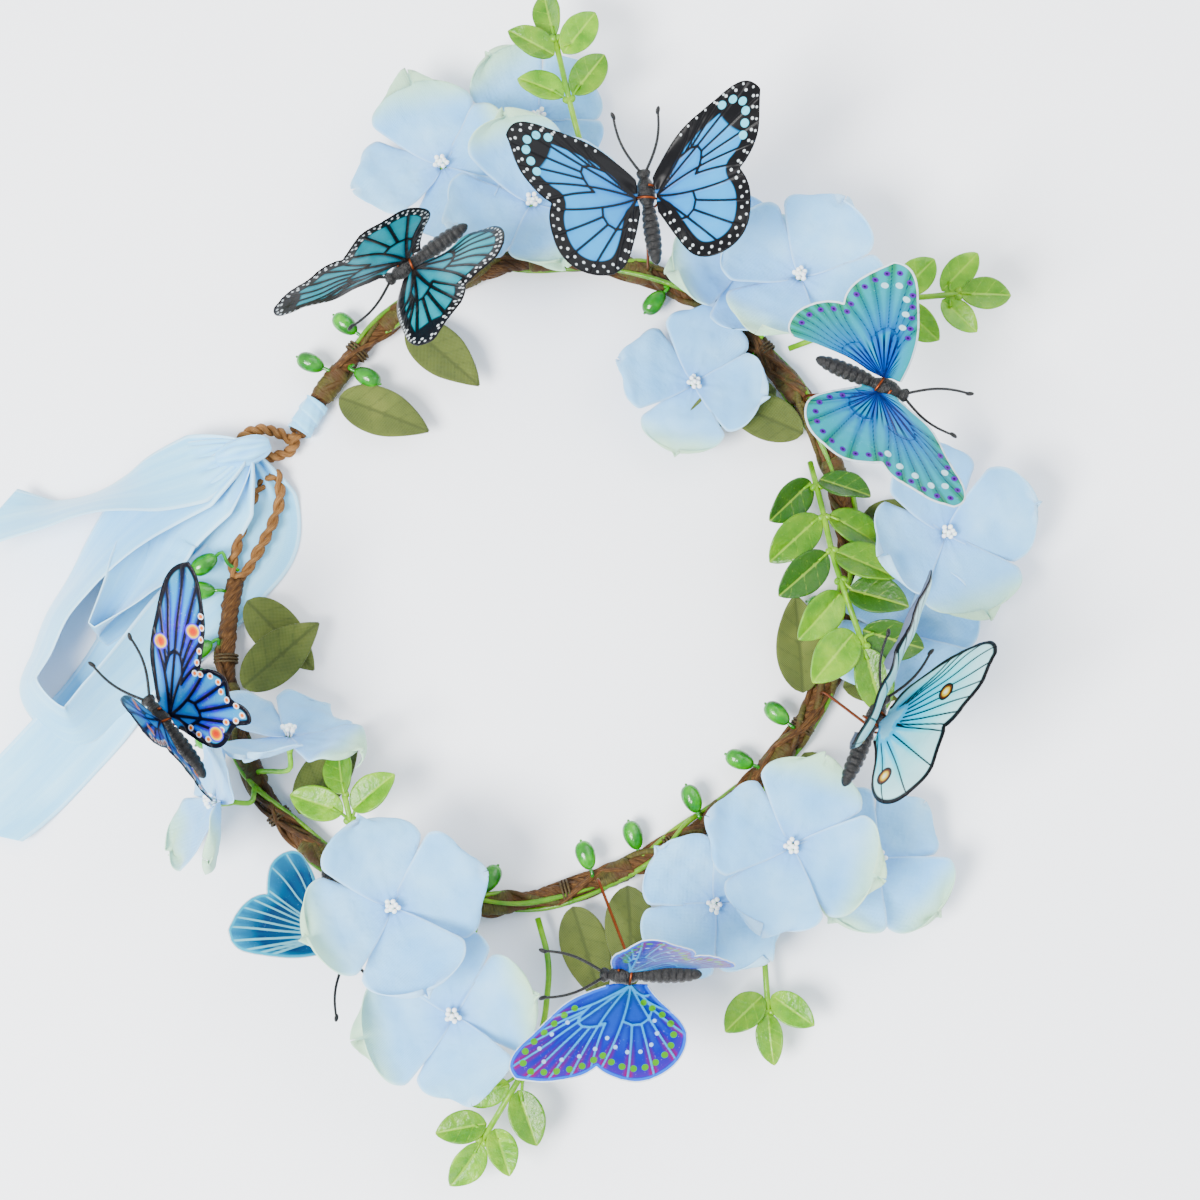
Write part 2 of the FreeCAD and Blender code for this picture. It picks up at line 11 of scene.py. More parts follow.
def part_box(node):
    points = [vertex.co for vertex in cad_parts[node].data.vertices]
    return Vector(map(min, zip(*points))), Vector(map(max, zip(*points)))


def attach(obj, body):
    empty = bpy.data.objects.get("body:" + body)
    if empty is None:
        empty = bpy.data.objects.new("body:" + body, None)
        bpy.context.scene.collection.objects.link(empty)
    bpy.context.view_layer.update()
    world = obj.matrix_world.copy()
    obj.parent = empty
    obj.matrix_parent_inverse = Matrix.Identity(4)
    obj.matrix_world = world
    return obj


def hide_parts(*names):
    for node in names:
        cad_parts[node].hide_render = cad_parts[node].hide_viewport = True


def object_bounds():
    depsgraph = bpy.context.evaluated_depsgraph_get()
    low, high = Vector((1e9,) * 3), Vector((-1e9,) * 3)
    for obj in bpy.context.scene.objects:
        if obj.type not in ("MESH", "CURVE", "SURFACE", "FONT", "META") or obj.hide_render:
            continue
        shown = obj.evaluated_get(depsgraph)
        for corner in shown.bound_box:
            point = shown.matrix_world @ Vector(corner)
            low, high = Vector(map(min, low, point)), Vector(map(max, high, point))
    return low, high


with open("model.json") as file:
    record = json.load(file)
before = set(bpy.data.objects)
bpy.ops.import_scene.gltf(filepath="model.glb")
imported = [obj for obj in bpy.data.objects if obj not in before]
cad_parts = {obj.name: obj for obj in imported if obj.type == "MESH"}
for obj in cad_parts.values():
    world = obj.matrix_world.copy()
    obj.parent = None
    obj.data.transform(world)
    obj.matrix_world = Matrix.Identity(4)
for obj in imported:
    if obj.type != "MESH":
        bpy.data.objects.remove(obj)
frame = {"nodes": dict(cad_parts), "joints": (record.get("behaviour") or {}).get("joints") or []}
CAD_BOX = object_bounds()
MM = 0.001
CROWN = "crown"
FAR = 9.0  # millimetres from any vein or rim
SEED = 11
rng = np.random.default_rng(SEED)


# ---------------------------------------------------------------- camera and light

CAMERA_PLACE = Vector((-0.144, -0.0762, 0.8903))
CAMERA_AIM = Vector((0.0009, -0.0176, 0.0040))
CAMERA_LENS = 89
CAMERA_NEAREST = 0.01
SKY_COLOUR = (0.93, 0.96, 1.0, 1)
SKY_STRENGTH = 1.75
# name, place, size, power and colour of each lamp
LAMPS = (("key", (-0.9, 0.5, 1.5), 0.7, 95, (1, 0.99, 0.97)),
         ("fill", (1.0, -0.6, 1.1), 1.4, 22, (0.94, 0.97, 1)))


def placed(name, data):
    """A new object, linked into the scene."""
    made = bpy.data.objects.new(name, data)
    bpy.context.scene.collection.objects.link(made)
    return made


def aim(thing, place, target):
    thing.location = place
    thing.rotation_euler = (target - place).to_track_quat("-Z", "Y").to_euler()


def make_camera():
    camera = placed("camera", bpy.data.cameras.new("camera"))
    camera.data.lens = CAMERA_LENS
    camera.data.clip_start = CAMERA_NEAREST
    aim(camera, CAMERA_PLACE, CAMERA_AIM)
    bpy.context.scene.camera = camera


def make_light():
    world = bpy.data.worlds.new("studio")
    world.use_nodes = True
    bpy.context.scene.world = world
    sky = world.node_tree.nodes["Background"]
    sky.inputs["Color"].default_value = SKY_COLOUR
    sky.inputs["Strength"].default_value = SKY_STRENGTH
    for name, place, size, power, colour in LAMPS:
        lamp = bpy.data.lights.new(name, "AREA")
        lamp.size, lamp.energy, lamp.color = size, power, colour
        aim(placed(name, lamp), Vector(place), Vector())


# ---------------------------------------------------------------- shader tools

def srgb(red, green, blue):
    """Linear colour from display values of 0 to 1."""
    return tuple(c / 12.92 if c < 0.04045 else ((c + 0.055) / 1.055) ** 2.4 for c in (red, green, blue))


class Shader:
    """A material with short calls for the nodes that it uses. Colours are display values of 0 to 1."""

    def __init__(self, name, shine=0.2, **settings):
        self.material = bpy.data.materials.new(name)
        self.material.use_nodes = True
        self.tree = self.material.node_tree
        self.surface = self.tree.nodes["Principled BSDF"]
        self.place = self.node("TexCoord").outputs["Object"]
        self.uv = self.node("UVMap").outputs[0]
        for socket, value in dict(settings, Specular_IOR_Level=shine).items():
            self.put(socket, value)

    def put(self, socket, value):
        if isinstance(socket, str):
            socket = self.surface.inputs[socket.replace("_", " ")]
        if isinstance(value, bpy.types.NodeSocket):
            self.tree.links.new(value, socket)
        elif value is not None:
            socket.default_value = (*srgb(*value), 1) if socket.type == "RGBA" else value

    def finish(self, colour, normal=None):
        self.put("Base_Color", colour)
        self.put("Normal", normal)
        return self.material

    def node(self, kind, *inputs, **settings):
        made = self.tree.nodes.new("ShaderNode" + kind)
        for key, value in settings.items():
            setattr(made, key, value)
        for socket, value in zip(made.inputs, inputs):
            self.put(socket, value)
        return made

    def named(self, kind, **inputs):
        made = self.node(kind)
        for socket, value in inputs.items():
            self.put(made.inputs[socket], value)
        return made.outputs[0]

    def math(self, operation, *inputs):
        return self.node("Math", *inputs, operation=operation).outputs[0]

    def times(self, first, second):
        return self.math("MULTIPLY", first, second)

    def field(self, name):
        return self.node("Attribute", attribute_name=name).outputs["Fac"]

    def stretched(self, first, second):
        """The uv map, which is in millimetres, scaled along each of its ways."""
        return self.node("VectorMath", self.uv, (first, second, 1), operation="MULTIPLY").outputs[0]

    def step(self, value, low, high):
        """0 below low, 1 above high, smooth between."""
        return self.node("MapRange", value, low, high, interpolation_type="SMOOTHSTEP").outputs[0]

    def inside(self, value, size, soft):
        """1 where value is under size."""
        return self.math("SUBTRACT", 1.0, self.step(value, size - soft, size + soft))

    def mix(self, share, first, second):
        made = self.node("Mix", data_type="RGBA")
        for number, value in ((0, share), (6, first), (7, second)):
            self.put(made.inputs[number], value)
        return made.outputs[2]

    def tint(self, base, colour, share, amount):
        """The base colour with some of another one over it, where share says."""
        return self.mix(self.times(share, amount), base, colour)

    def ramp(self, value, *stops):
        """Colours along a value; each stop is its position and then its colour."""
        made = self.node("ValToRGB", value)
        band = made.color_ramp
        while len(band.elements) < len(stops):
            band.elements.new(0.5)
        for element, (position, *colour) in zip(band.elements, stops):
            element.position = position
            element.color = (*srgb(*colour), 1)
        return made.outputs[0]

    def noise(self, scale, detail=3.0, rough=0.55, over=None):
        return self.named("TexNoise", Vector=self.place if over is None else over, Scale=scale,
                          Detail=detail, Roughness=rough)

    def bump(self, height, distance, before=None):
        return self.named("Bump", Distance=distance, Height=height, Normal=before)

    def wave(self, axis, pitch):
        """A sine over one way of the uv map."""
        parts = self.node("SeparateXYZ", self.uv)
        return self.math("SINE", self.times(parts.outputs[axis], 2 * math.pi / pitch))

    def weave(self, pitch):
        """Height of a plain weave."""
        return self.times(self.wave(0, pitch), self.wave(1, pitch))


# ---------------------------------------------------------------- mesh tools

class Shape:
    """Points, faces and per-point values of a piece while it is put together."""

    def __init__(self):
        self.points, self.faces, self.uv = [], [], []
        self.fields, self.count = {}, 0

    def add(self, points, faces, uv=None, **fields):
        points = np.asarray(points, float).reshape(-1, 3)
        self.points.append(points)
        self.faces += [tuple(int(i) + self.count for i in face) for face in faces]
        self.uv.append(np.zeros((len(points), 2)) if uv is None else np.asarray(uv, float).reshape(-1, 2))
        for name, values in fields.items():
            values = np.broadcast_to(np.asarray(values, float), len(points))
            self.fields.setdefault(name, []).append((self.count, values))
        self.count += len(points)

    def make(self, name, body, slot, *materials, replaces=(), thickness=None):
        mesh = bpy.data.meshes.new(name)
        mesh.from_pydata(np.concatenate(self.points).tolist(), [], self.faces)
        corners = np.empty(len(mesh.loops), int)
        mesh.loops.foreach_get("vertex_index", corners)
        layer = mesh.uv_layers.new(name="UVMap")
        layer.data.foreach_set("uv", np.concatenate(self.uv)[corners].ravel())
        for field, rows in self.fields.items():
            values = np.zeros(self.count)
            for start, part in rows:
                values[start:start + len(part)] = part
            mesh.attributes.new(field, "FLOAT", "POINT").data.foreach_set("value", values)
        mesh.polygons.foreach_set("use_smooth", [True] * len(mesh.polygons))
        for material in materials:
            mesh.materials.append(material)
        piece = placed(name, mesh)
        if thickness:
            solid = piece.modifiers.new("thickness", "SOLIDIFY")
            solid.thickness = thickness
            solid.offset = 0
            solid.material_offset = len(materials) - 1
        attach(piece, body)
        if replaces:
            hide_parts(*replaces)
        return piece


def grid_faces(rows, columns, wrap=False):
    faces = []
    for row in range(rows - 1):
        for column in range(columns if wrap else columns - 1):
            after = (column + 1) % columns
            near, far = row * columns, (row + 1) * columns
            faces.append((near + column, near + after, far + after, far + column))
    return faces


def tube_faces(rings, sides):
    """Faces of a tube with both ends closed."""
    start = tuple(range(sides))[::-1]
    end = tuple((rings - 1) * sides + i for i in range(sides))
    return grid_faces(rings, sides, wrap=True) + [start, end]


def ring_turns(sides):
    return np.linspace(0, 2 * np.pi, sides, endpoint=False)[None, :]


def paired(first, second):
    return np.stack(np.broadcast_arrays(first, second), axis=-1)


def spread_over(axes, *parts):
    """Points at the given distances along three directions."""
    return sum(part[..., None] * axis for part, axis in zip(parts, axes))


def unit(vector):
    vector = np.asarray(vector, float)
    return vector / np.maximum(np.linalg.norm(vector, axis=-1, keepdims=True), 1e-12)


def distances(points):
    """How far each point of a line is along it."""
    return np.concatenate([[0], np.cumsum(np.linalg.norm(np.diff(points, axis=0), axis=1))])


def through(points, count):
    """A smooth curve through rows of values, evenly spaced by the distance of their first three."""
    rows = np.asarray(points, float)
    gaps = np.linalg.norm(np.diff(rows[:, :3], axis=0), axis=1)
    knots = np.concatenate([[0], np.cumsum(np.sqrt(gaps))])
    slope = np.gradient(rows, knots, axis=0)
    fine = np.linspace(0, knots[-1], count * 6)
    span = np.clip(np.searchsorted(knots, fine, side="right") - 1, 0, len(knots) - 2)
    width = (knots[span + 1] - knots[span])[:, None]
    share = (fine - knots[span])[:, None] / width
    first, second = rows[span], rows[span + 1]
    curve = (2 * share**3 - 3 * share**2 + 1) * first + (3 * share**2 - 2 * share**3) * second
    curve += width * ((share**3 - 2 * share**2 + share) * slope[span]
                      + (share**3 - share**2) * slope[span + 1])
    length = distances(curve[:, :3])
    even = np.linspace(0, length[-1], count)
    return np.stack([np.interp(even, length, column) for column in curve.T], axis=1)


def frames_along(path):
    """Direction and two steady side directions at each point of a path."""
    along = unit(np.gradient(path, axis=0))
    first = np.cross(along[0], (0, 0, 1))
    if np.linalg.norm(first) < 0.1:
        first = np.cross(along[0], (1, 0, 0))
    sides = [unit(first)]
    for direction in along[1:]:
        sides.append(unit(sides[-1] - direction * (sides[-1] @ direction)))
    sides = np.array(sides)
    return along, sides, np.cross(along, sides)


def outward(path, turn):
    """Directions away from a path. turn is a row of angles for each of its points, or one row for all."""
    _, side, up = frames_along(path)
    return np.cos(turn)[..., None] * side[:, None] + np.sin(turn)[..., None] * up[:, None]


def add_tube(shape, path, radius, sides=10, **fields):
    """A closed tube along a path; radius may change from point to point. uv is millimetres."""
    path = np.asarray(path, float)
    radius = np.broadcast_to(radius, len(path)).astype(float)
    turn = ring_turns(sides)
    points = path[:, None] + radius[:, None, None] * outward(path, turn)
    uv = paired(distances(path)[:, None] / MM, np.abs(turn - np.pi) * radius.mean() / MM)
    shape.add(points, tube_faces(len(path), sides), uv, **fields)


def add_bead(shape, centre, axis, length, width, rings=9, sides=12, **fields):
    """A rounded closed bead, such as a berry or a stamen tip."""
    turn = np.linspace(0.06, np.pi - 0.06, rings)
    path = np.asarray(centre) - unit(axis) * (np.cos(turn) * length / 2)[:, None]
    add_tube(shape, path, np.sin(turn) * width / 2, sides, **fields)


# ---------------------------------------------------------------- reading the frame

WELD = 2e-6


def welded(node):
    """A CAD node's points without doubles, and its faces."""
    mesh = frame["nodes"][node].data
    points = np.array([vertex.co for vertex in mesh.vertices], float)
    rounded = np.round(points / WELD).astype(int)
    _, first, same = np.unique(rounded, axis=0, return_index=True, return_inverse=True)
    faces = [tuple(same[list(face.vertices)].ravel()) for face in mesh.polygons]
    return points[first], [face for face in faces if len(set(face)) == len(face)]


def solids(node):
    """The separate solids of a CAD node, each as its points and faces."""
    points, faces = welded(node)
    label = np.arange(len(points))
    pairs = np.array([(face[0], corner) for face in faces for corner in face[1:]])
    while True:
        lower = np.minimum(label[pairs[:, 0]], label[pairs[:, 1]])
        after = label.copy()
        np.minimum.at(after, pairs[:, 0], lower)
        np.minimum.at(after, pairs[:, 1], lower)
        after = after[after]
        if (after == label).all():
            break
        label = after
    found = []
    for number in np.unique(label):
        members = np.flatnonzero(label == number)
        place = {old: new for new, old in enumerate(members)}
        own = [tuple(place[i] for i in face) for face in faces if label[face[0]] == number]
        found.append((points[members], own))
    return found


def main_axes(points):
    """Longest, middle and shortest direction of a cloud of points."""
    return np.linalg.svd(points - points.mean(0), full_matrices=False)[2]


def station_of(point):
    return math.degrees(math.atan2(-point[0], point[1])) % 360


class Hoop:
    """The hoop's middle line, found from its core wire."""

    WAVES = 3

    def __init__(self):
        points = welded("hoop_core_wire")[0]
        station = np.degrees(np.arctan2(-points[:, 0], points[:, 1])) % 360
        radius = np.hypot(points[:, 0], points[:, 1])
        self.share = np.linalg.lstsq(self.terms(station), radius, rcond=None)[0]
        self.level = (points[:, 2].min() + points[:, 2].max()) / 2
        self.start = station.min()
        self.end = station.max()

    def terms(self, station):
        turn = np.radians(np.atleast_1d(station))
        waves = [f(k * turn) for k in range(1, self.WAVES + 1) for f in (np.cos, np.sin)]
        return np.stack([np.ones_like(turn), *waves], axis=1)

    def line(self, stations):
        """Points of the middle line at the given stations, in degrees."""
        turn = np.radians(np.atleast_1d(stations))
        radius = self.terms(stations) @ self.share
        level = np.full(len(turn), self.level)
        return np.stack([-radius * np.sin(turn), radius * np.cos(turn), level], axis=1)

    def nearest(self, point):
        return self.line(station_of(point))[0]


make_camera()
hoop = Hoop()


# ---------------------------------------------------------------- materials

def rope_material(name, *shades):
    shader = Shader(name, Roughness=0.62)
    grain = shader.noise(1.6, 5, 0.65, over=shader.stretched(0.25, 2.4))
    brown = shader.ramp(grain, *((place, *shade) for place, shade in zip((0.3, 0.5, 0.75), shades)))
    brown = shader.tint(brown, shades[0], shader.step(shader.noise(90), 0.45, 0.7), 0.7)
    return shader.finish(brown, shader.bump(grain, 0.5 * MM))


def tape_material():
    shader = Shader("floral_tape", Roughness=0.55)
    crepe = shader.noise(1.5, 4, 0.6, over=shader.stretched(2.2, 0.35))
    olive = shader.ramp(crepe, (0.3, .15, .14, .05), (0.55, .28, .26, .09), (0.8, .42, .39, .17))
    olive = shader.mix(shader.step(shader.noise(160, 2), 0.4, 0.65), olive, (.26, .17, .07))
    return shader.finish(olive, shader.bump(crepe, 0.4 * MM))


def metal_material(name, colour, rough):
    """Bare wire, its colour darker where it is worn."""
    shader = Shader(name, Metallic=0.9, Roughness=rough)
    worn = shader.mix(0.45, colour, (0, 0, 0))
    return shader.finish(shader.mix(shader.noise(900), colour, worn))


def petal_material():
    shader = Shader("petal_fabric", Roughness=0.78, Sheen_Weight=0.25, Sheen_Roughness=0.5,
                    Subsurface_Weight=0.25, Subsurface_Radius=(0.003, 0.004, 0.005), Subsurface_Scale=0.6)
    reach, thread = shader.field("reach"), shader.weave(0.55)
    cloth_colour = shader.ramp(shader.noise(55), (0.3, .34, .65, .91), (0.55, .44, .72, .94), (0.8, .56, .80, .96))
    cloth_colour = shader.tint(cloth_colour, (.30, .56, .90), shader.inside(reach, 0.22, 0.16), 0.5)
    cloth_colour = shader.tint(cloth_colour, (.70, .86, .97), shader.inside(shader.field("rim"), 0.55, 0.5), 0.45)
    cloth_colour = shader.tint(cloth_colour, (.66, .82, .50), shader.field("tint"), shader.step(reach, 0.55, 0.95))
    cloth_colour = shader.tint(cloth_colour, (.80, .92, 1), shader.step(thread, -1, 1), 0.08)
    crease = shader.noise(1.0, 4, over=shader.stretched(0.12, 0.12))
    return shader.finish(cloth_colour, shader.bump(thread, 0.06 * MM, shader.bump(crease, 1.2 * MM)))


def ribbon_material():
    shader = Shader("satin_ribbon", Roughness=0.34, Sheen_Weight=0.35, Sheen_Roughness=0.35,
                    Subsurface_Weight=0.15, Subsurface_Radius=(0.002, 0.003, 0.004), Subsurface_Scale=0.5)
    sheen = shader.noise(1.0, over=shader.stretched(0.02, 0.25))
    # The ramp over the streaky sheen noise is painted sheen: its lighter streaks along the satin stand in for
    # the ribbon's highlight.
    cloth_colour = shader.ramp(sheen, (0.3, .44, .77, .96), (0.5, .51, .81, .97), (0.75, .60, .86, .98))
    # Darker blue from the per-point field of the folds: painted shade in the hollows of pleats and folds and
    # under overlapping turns.
    cloth_colour = shader.tint(cloth_colour, (.26, .60, .90), shader.field("deep"), 0.6)
    cloth_colour = shader.tint(cloth_colour, (.85, .96, 1), shader.inside(shader.field("rim"), 1.1, 0.15), 0.35)
    return shader.finish(cloth_colour, shader.bump(shader.wave(0, 0.32), 0.02 * MM, shader.bump(sheen, 0.2 * MM)))


def sprig_material():
    shader = Shader("sprig_plastic", shine=0.3, Roughness=0.3, Subsurface_Weight=0.25,
                    Subsurface_Radius=(0.002, 0.004, 0.0008), Subsurface_Scale=0.5)
    green = shader.ramp(shader.noise(130), (0.3, .24, .46, .01), (0.5, .36, .56, .02), (0.75, .50, .66, .04))
    green = shader.mix(shader.field("shade"), green, (.10, .26, .05))
    green = shader.tint(green, (.62, .74, .20), shader.inside(shader.field("vein"), 0.35, 0.2), 0.4)
    return shader.finish(green, shader.bump(shader.noise(700), 0.3 * MM))


def leaf_fabric_material():
    shader = Shader("leaf_fabric", Roughness=0.68, Sheen_Weight=0.15, Sheen_Roughness=0.4)
    thread = shader.weave(0.6)
    olive = shader.ramp(shader.noise(70), (0.3, .19, .24, .07), (0.55, .27, .32, .10), (0.8, .37, .40, .15))
    olive = shader.tint(olive, (.12, .17, .04), shader.inside(shader.field("vein"), 0.5, 0.35), 0.65)
    olive = shader.tint(olive, (.50, .53, .30), shader.step(thread, -1, 1), 0.26)
    return shader.finish(olive, shader.bump(thread, 0.08 * MM))


# small parts of one patchy colour: relief in millimetres, the noise, its colours, a finer noise if the
# relief has one of its own, and settings
MOTTLED = {
    "binding_wire": dict(relief=0.1, patch=(1500,), shades=((0.3, .13, .10, .05), (0.7, .30, .24, .13)),
                         Roughness=0.6),
    "berry_plastic": dict(relief=0.15, patch=(240, 2), grain=(900, 2), shine=0.5, Roughness=0.2,
                          shades=((0.3, .04, .32, .01), (0.55, .11, .46, .02), (0.8, .26, .62, .05))),
    "stamen_tuft": dict(relief=0.3, patch=(1800,), shades=((0.3, .86, .90, .90), (0.7, .97, .98, .97)),
                        Roughness=0.6, Subsurface_Weight=0.3, Subsurface_Scale=0.001),
    "calyx_plastic": dict(relief=0.2, patch=(300,), shades=((0.3, .30, .56, .05), (0.7, .50, .72, .15)),
                          Roughness=0.35, Subsurface_Weight=0.3, Subsurface_Radius=(0.002, 0.004, 0.001),
                          Subsurface_Scale=0.4),
    "butterfly_body": dict(relief=0.4, patch=(1400, 4, 0.7), shine=0.3, Roughness=0.3,
                           shades=((0.35, .015, .015, .02), (0.75, .07, .065, .06))),
}


def mottled_material(name, relief, patch, shades, grain=None, **settings):
    shader = Shader(name, **settings)
    cover = shader.noise(*patch)
    height = shader.noise(*grain) if grain else cover
    return shader.finish(shader.ramp(cover, *shades), shader.bump(height, relief * MM))


# ---------------------------------------------------------------- hoop

ROPE_STRANDS = 5
STRAND_RADIUS = 1.25 * MM
STRAND_ORBIT = 1.55 * MM
ROPE_STEP = 0.8
ROPE_TURNS_PER_DEGREE = 0.125
EYE_STRANDS = 2
EYE_STRAND_RADIUS = 0.95 * MM
EYE_STRAND_ORBIT = 0.85 * MM
EYE_TURNS = 7
EYE_CUTS = (-1.05, -0.7, -0.35, 0, 0.35, 0.7)
EYE_POINTS = 110
TAPE_LENGTH = 11 * MM
TAPE_UNDER = 2.7 * MM
TAPE_RADIUS = 3.3 * MM
TAPE_RIDGE = 0.3 * MM
TAPE_LAPS = 3.2
WINDING_SPAN = (22, 80)
# name, slot, count, radius and orbit in millimetres, and turns over a hundred degrees of hoop
WINDINGS = (("wound_twigs", "paper_rope", 22, 0.85, 3.1, 3.2),
            ("wound_tape", "floral_tape", 18, 1.0, 2.9, 4.0),
            ("wound_stems", "sprig_plastic", 12, 0.75, 3.5, 1.6))


def add_strands(shape, path, strands, orbit, radius, turns):
    """Strands laid round a middle line, with uneven thickness."""
    share = np.linspace(0, 1, len(path))
    for number in range(strands):
        turn = 2 * np.pi * (turns * share + number / strands)
        wander = 1 + 0.12 * np.sin(share * turns * 5 + number * 2.1) + 0.05 * rng.standard_normal(len(path))
        uneven = 1 + 0.10 * np.sin(share * turns * 7.3 + number) + 0.05 * rng.standard_normal(len(path))
        line = path + (orbit * wander)[:, None] * outward(path, turn[:, None])[:, 0]
        add_tube(shape, line, radius * uneven)


def make_rope(material):
    shape = Shape()
    stations = np.arange(hoop.start, hoop.end, ROPE_STEP)
    add_strands(shape, hoop.line(stations), ROPE_STRANDS, STRAND_ORBIT, STRAND_RADIUS,
                ROPE_TURNS_PER_DEGREE * len(stations) * ROPE_STEP)
    shape.make("paper_rope_strands", CROWN, "paper_rope", material, replaces=["hoop_paper_rope"])


def make_windings(name, slot, count, radius, orbit, turns, material):
    """Thin stems and twigs laid loosely along the hoop and wound round it, each over its own stretch."""
    shape = Shape()
    radius, orbit = radius * MM, orbit * MM
    whole = hoop.end - hoop.start
    for number in range(count):
        length = rng.uniform(*WINDING_SPAN)
        start = hoop.start + (whole - length) * (number + rng.uniform(0.1, 0.9)) / count
        share = np.linspace(0, 1, int(length * 1.6))
        off_middle = 2 * np.abs(share - 0.5)
        path = hoop.line(start + length * share)
        turn = rng.random() * 6.3 + rng.choice([-1, 1]) * 2 * np.pi * turns * length / 100 * share
        turn = turn + 0.5 * np.sin(share * 9 + number)
        reach = orbit * (1 + 0.10 * np.sin(share * 17 + number) - 0.45 * off_middle**8)
        line = path + reach[:, None] * outward(path, turn[:, None])[:, 0]
        line[:, 2] = np.maximum(line[:, 2], 1.1 * radius)
        thick = radius * (1 + 0.15 * np.sin(share * 23 + number)) * (1 - 0.6 * off_middle**10)
        add_tube(shape, line, thick, 8, vein=FAR, shade=0.3)
    shape.make(name, CROWN, slot, material)


def eye_line(points):
    """Middle line of one eye: out along one strand of the CAD loop, round its tip and back."""
    centre = (points.min(0) + points.max(0)) / 2
    way, side, _ = main_axes(points)
    ends = hoop.line([hoop.start, hoop.end])
    foot = ends[np.linalg.norm(ends - centre, axis=1).argmin()]
    if way @ (centre - foot) < 0:
        way = -way
    reach, lean = (points - centre) @ way, (points - centre) @ side
    strands = []
    for sign in (-1, 1):
        strand = []
        for low, high in zip(EYE_CUTS, EYE_CUTS[1:]):
            slot = (reach >= reach.max() * low) & (reach < reach.max() * high) & (sign * lean > 0)
            if slot.sum() >= 4:
                strand.append((points[slot].min(0) + points[slot].max(0)) / 2)
        strands.append(strand)
    tip = centre + way * (reach.max() - 2 * EYE_STRAND_RADIUS)
    return through([foot] + strands[0] + [tip] + strands[1][::-1] + [foot], EYE_POINTS)


def make_eyes(material):
    shape = Shape()
    for points, _ in solids("ribbon_eyes"):
        add_strands(shape, eye_line(points), EYE_STRANDS, EYE_STRAND_ORBIT, EYE_STRAND_RADIUS, EYE_TURNS)
    shape.make("ribbon_eye_strands", CROWN, "paper_rope", material, replaces=["ribbon_eyes"])


def make_tape(material):
    """Crepe tape sleeves, wound on a slant so that each turn overlaps the one before."""
    shape = Shape()
    rings, sides = 34, 32
    share, turn = np.linspace(0, 1, rings)[:, None], ring_turns(sides)
    for points, _ in solids("floral_tape_wraps"):
        station = station_of(points.mean(0))
        half = math.degrees(TAPE_LENGTH / 2 / np.hypot(*points.mean(0)[:2]))
        path = hoop.line(np.linspace(station - half, station + half, rings))
        lap = (share * TAPE_LAPS + turn / (2 * np.pi) + rng.random()) % 1
        ends = np.minimum(np.minimum(share, 1 - share) * 7, 1) ** 0.5
        lumps = np.sin(turn * 3 + rng.random() * 6) * 0.25 * MM
        radius = TAPE_UNDER + ends * (TAPE_RADIUS - TAPE_UNDER + TAPE_RIDGE * lap + lumps)
        radius += 0.06 * MM * rng.standard_normal((rings, sides))
        uv = paired(share * TAPE_LENGTH / MM, np.abs(turn - np.pi) * TAPE_RADIUS / MM)
        shape.add(path[:, None] + radius[..., None] * outward(path, turn),
                  grid_faces(rings, sides, wrap=True), uv)
    shape.make("floral_tape_sleeves", CROWN, "floral_tape", material, replaces=["floral_tape_wraps"])


# ---------------------------------------------------------------- florets

PETALS = 4
PETAL_WIDTH = 1.1
PETAL_WIDEST = 0.62
PETAL_THICKNESS = 0.28 * MM
PETAL_ABOVE_CUP = 0.15 * MM
PINWHEEL = math.radians(8)
DISH_RADIUS = 62 * MM
# ranges of the draws that shape a petal: share of the full reach and pitch in degrees, then in
# millimetres its cup from side to side, its twist and the turn of its tip
PETAL_REACH = (0.88, 1.0)
PETAL_PITCH = (-8, 10)
PETAL_CUP = (-2.0, 4.2)
PETAL_TWIST = (-2.2, 3.2)
PETAL_TIP_TURN = (-4.0, 4.0)
PETAL_TINTS = (0, 0.1, 0.75)
STAMENS = 9
STAMEN_TURN = 2.4
STAMEN_LEAN = 0.16
# distance under the petals and radius, in millimetres
CUP = ((0.2, 2.6), (0.9, 2.0), (1.8, 1.5), (3.0, 1.35), (4.2, 1.1), (5.2, 0.85))
STEM_START = 4.8 * MM
STEM_RADIUS = 0.8 * MM
STEM_ABOVE_FLOOR = 1.4 * MM


def floret_frame(node):
    """Centre, two directions, normal and reach of a floret's four petals."""
    points = welded(node)[0]
    normal = main_axes(points)[2]
    middle = points.mean(0)
    flat = points - middle - np.outer((points - middle) @ normal, normal)
    far = (flat**2).sum(1)
    if np.corrcoef(far, (points - middle) @ normal)[0, 1] < 0:
        normal = -normal
    right = unit(np.cross((0, 1, 0), normal))
    ahead = np.cross(normal, right)
    angle = np.arctan2(flat @ ahead, flat @ right)
    spin = np.angle((far**3 * np.exp(1j * PETALS * angle)).sum()) / PETALS
    bottom = middle + normal * ((points - middle) @ normal).min()
    x = math.cos(spin) * right + math.sin(spin) * ahead
    return bottom, x, np.cross(normal, x), normal, math.sqrt(far.max())


def petal_outline(share):
    """Half the petal's width, as a share of the petal's length, at a share of its length."""
    rising = (np.minimum(share, PETAL_WIDEST) / PETAL_WIDEST) ** 0.78
    past = np.maximum(share - PETAL_WIDEST, 0) / (1 - PETAL_WIDEST)
    return PETAL_WIDTH / 2 * np.maximum(rising * np.sqrt(np.maximum(1 - past**2.3, 0)), 0.035)


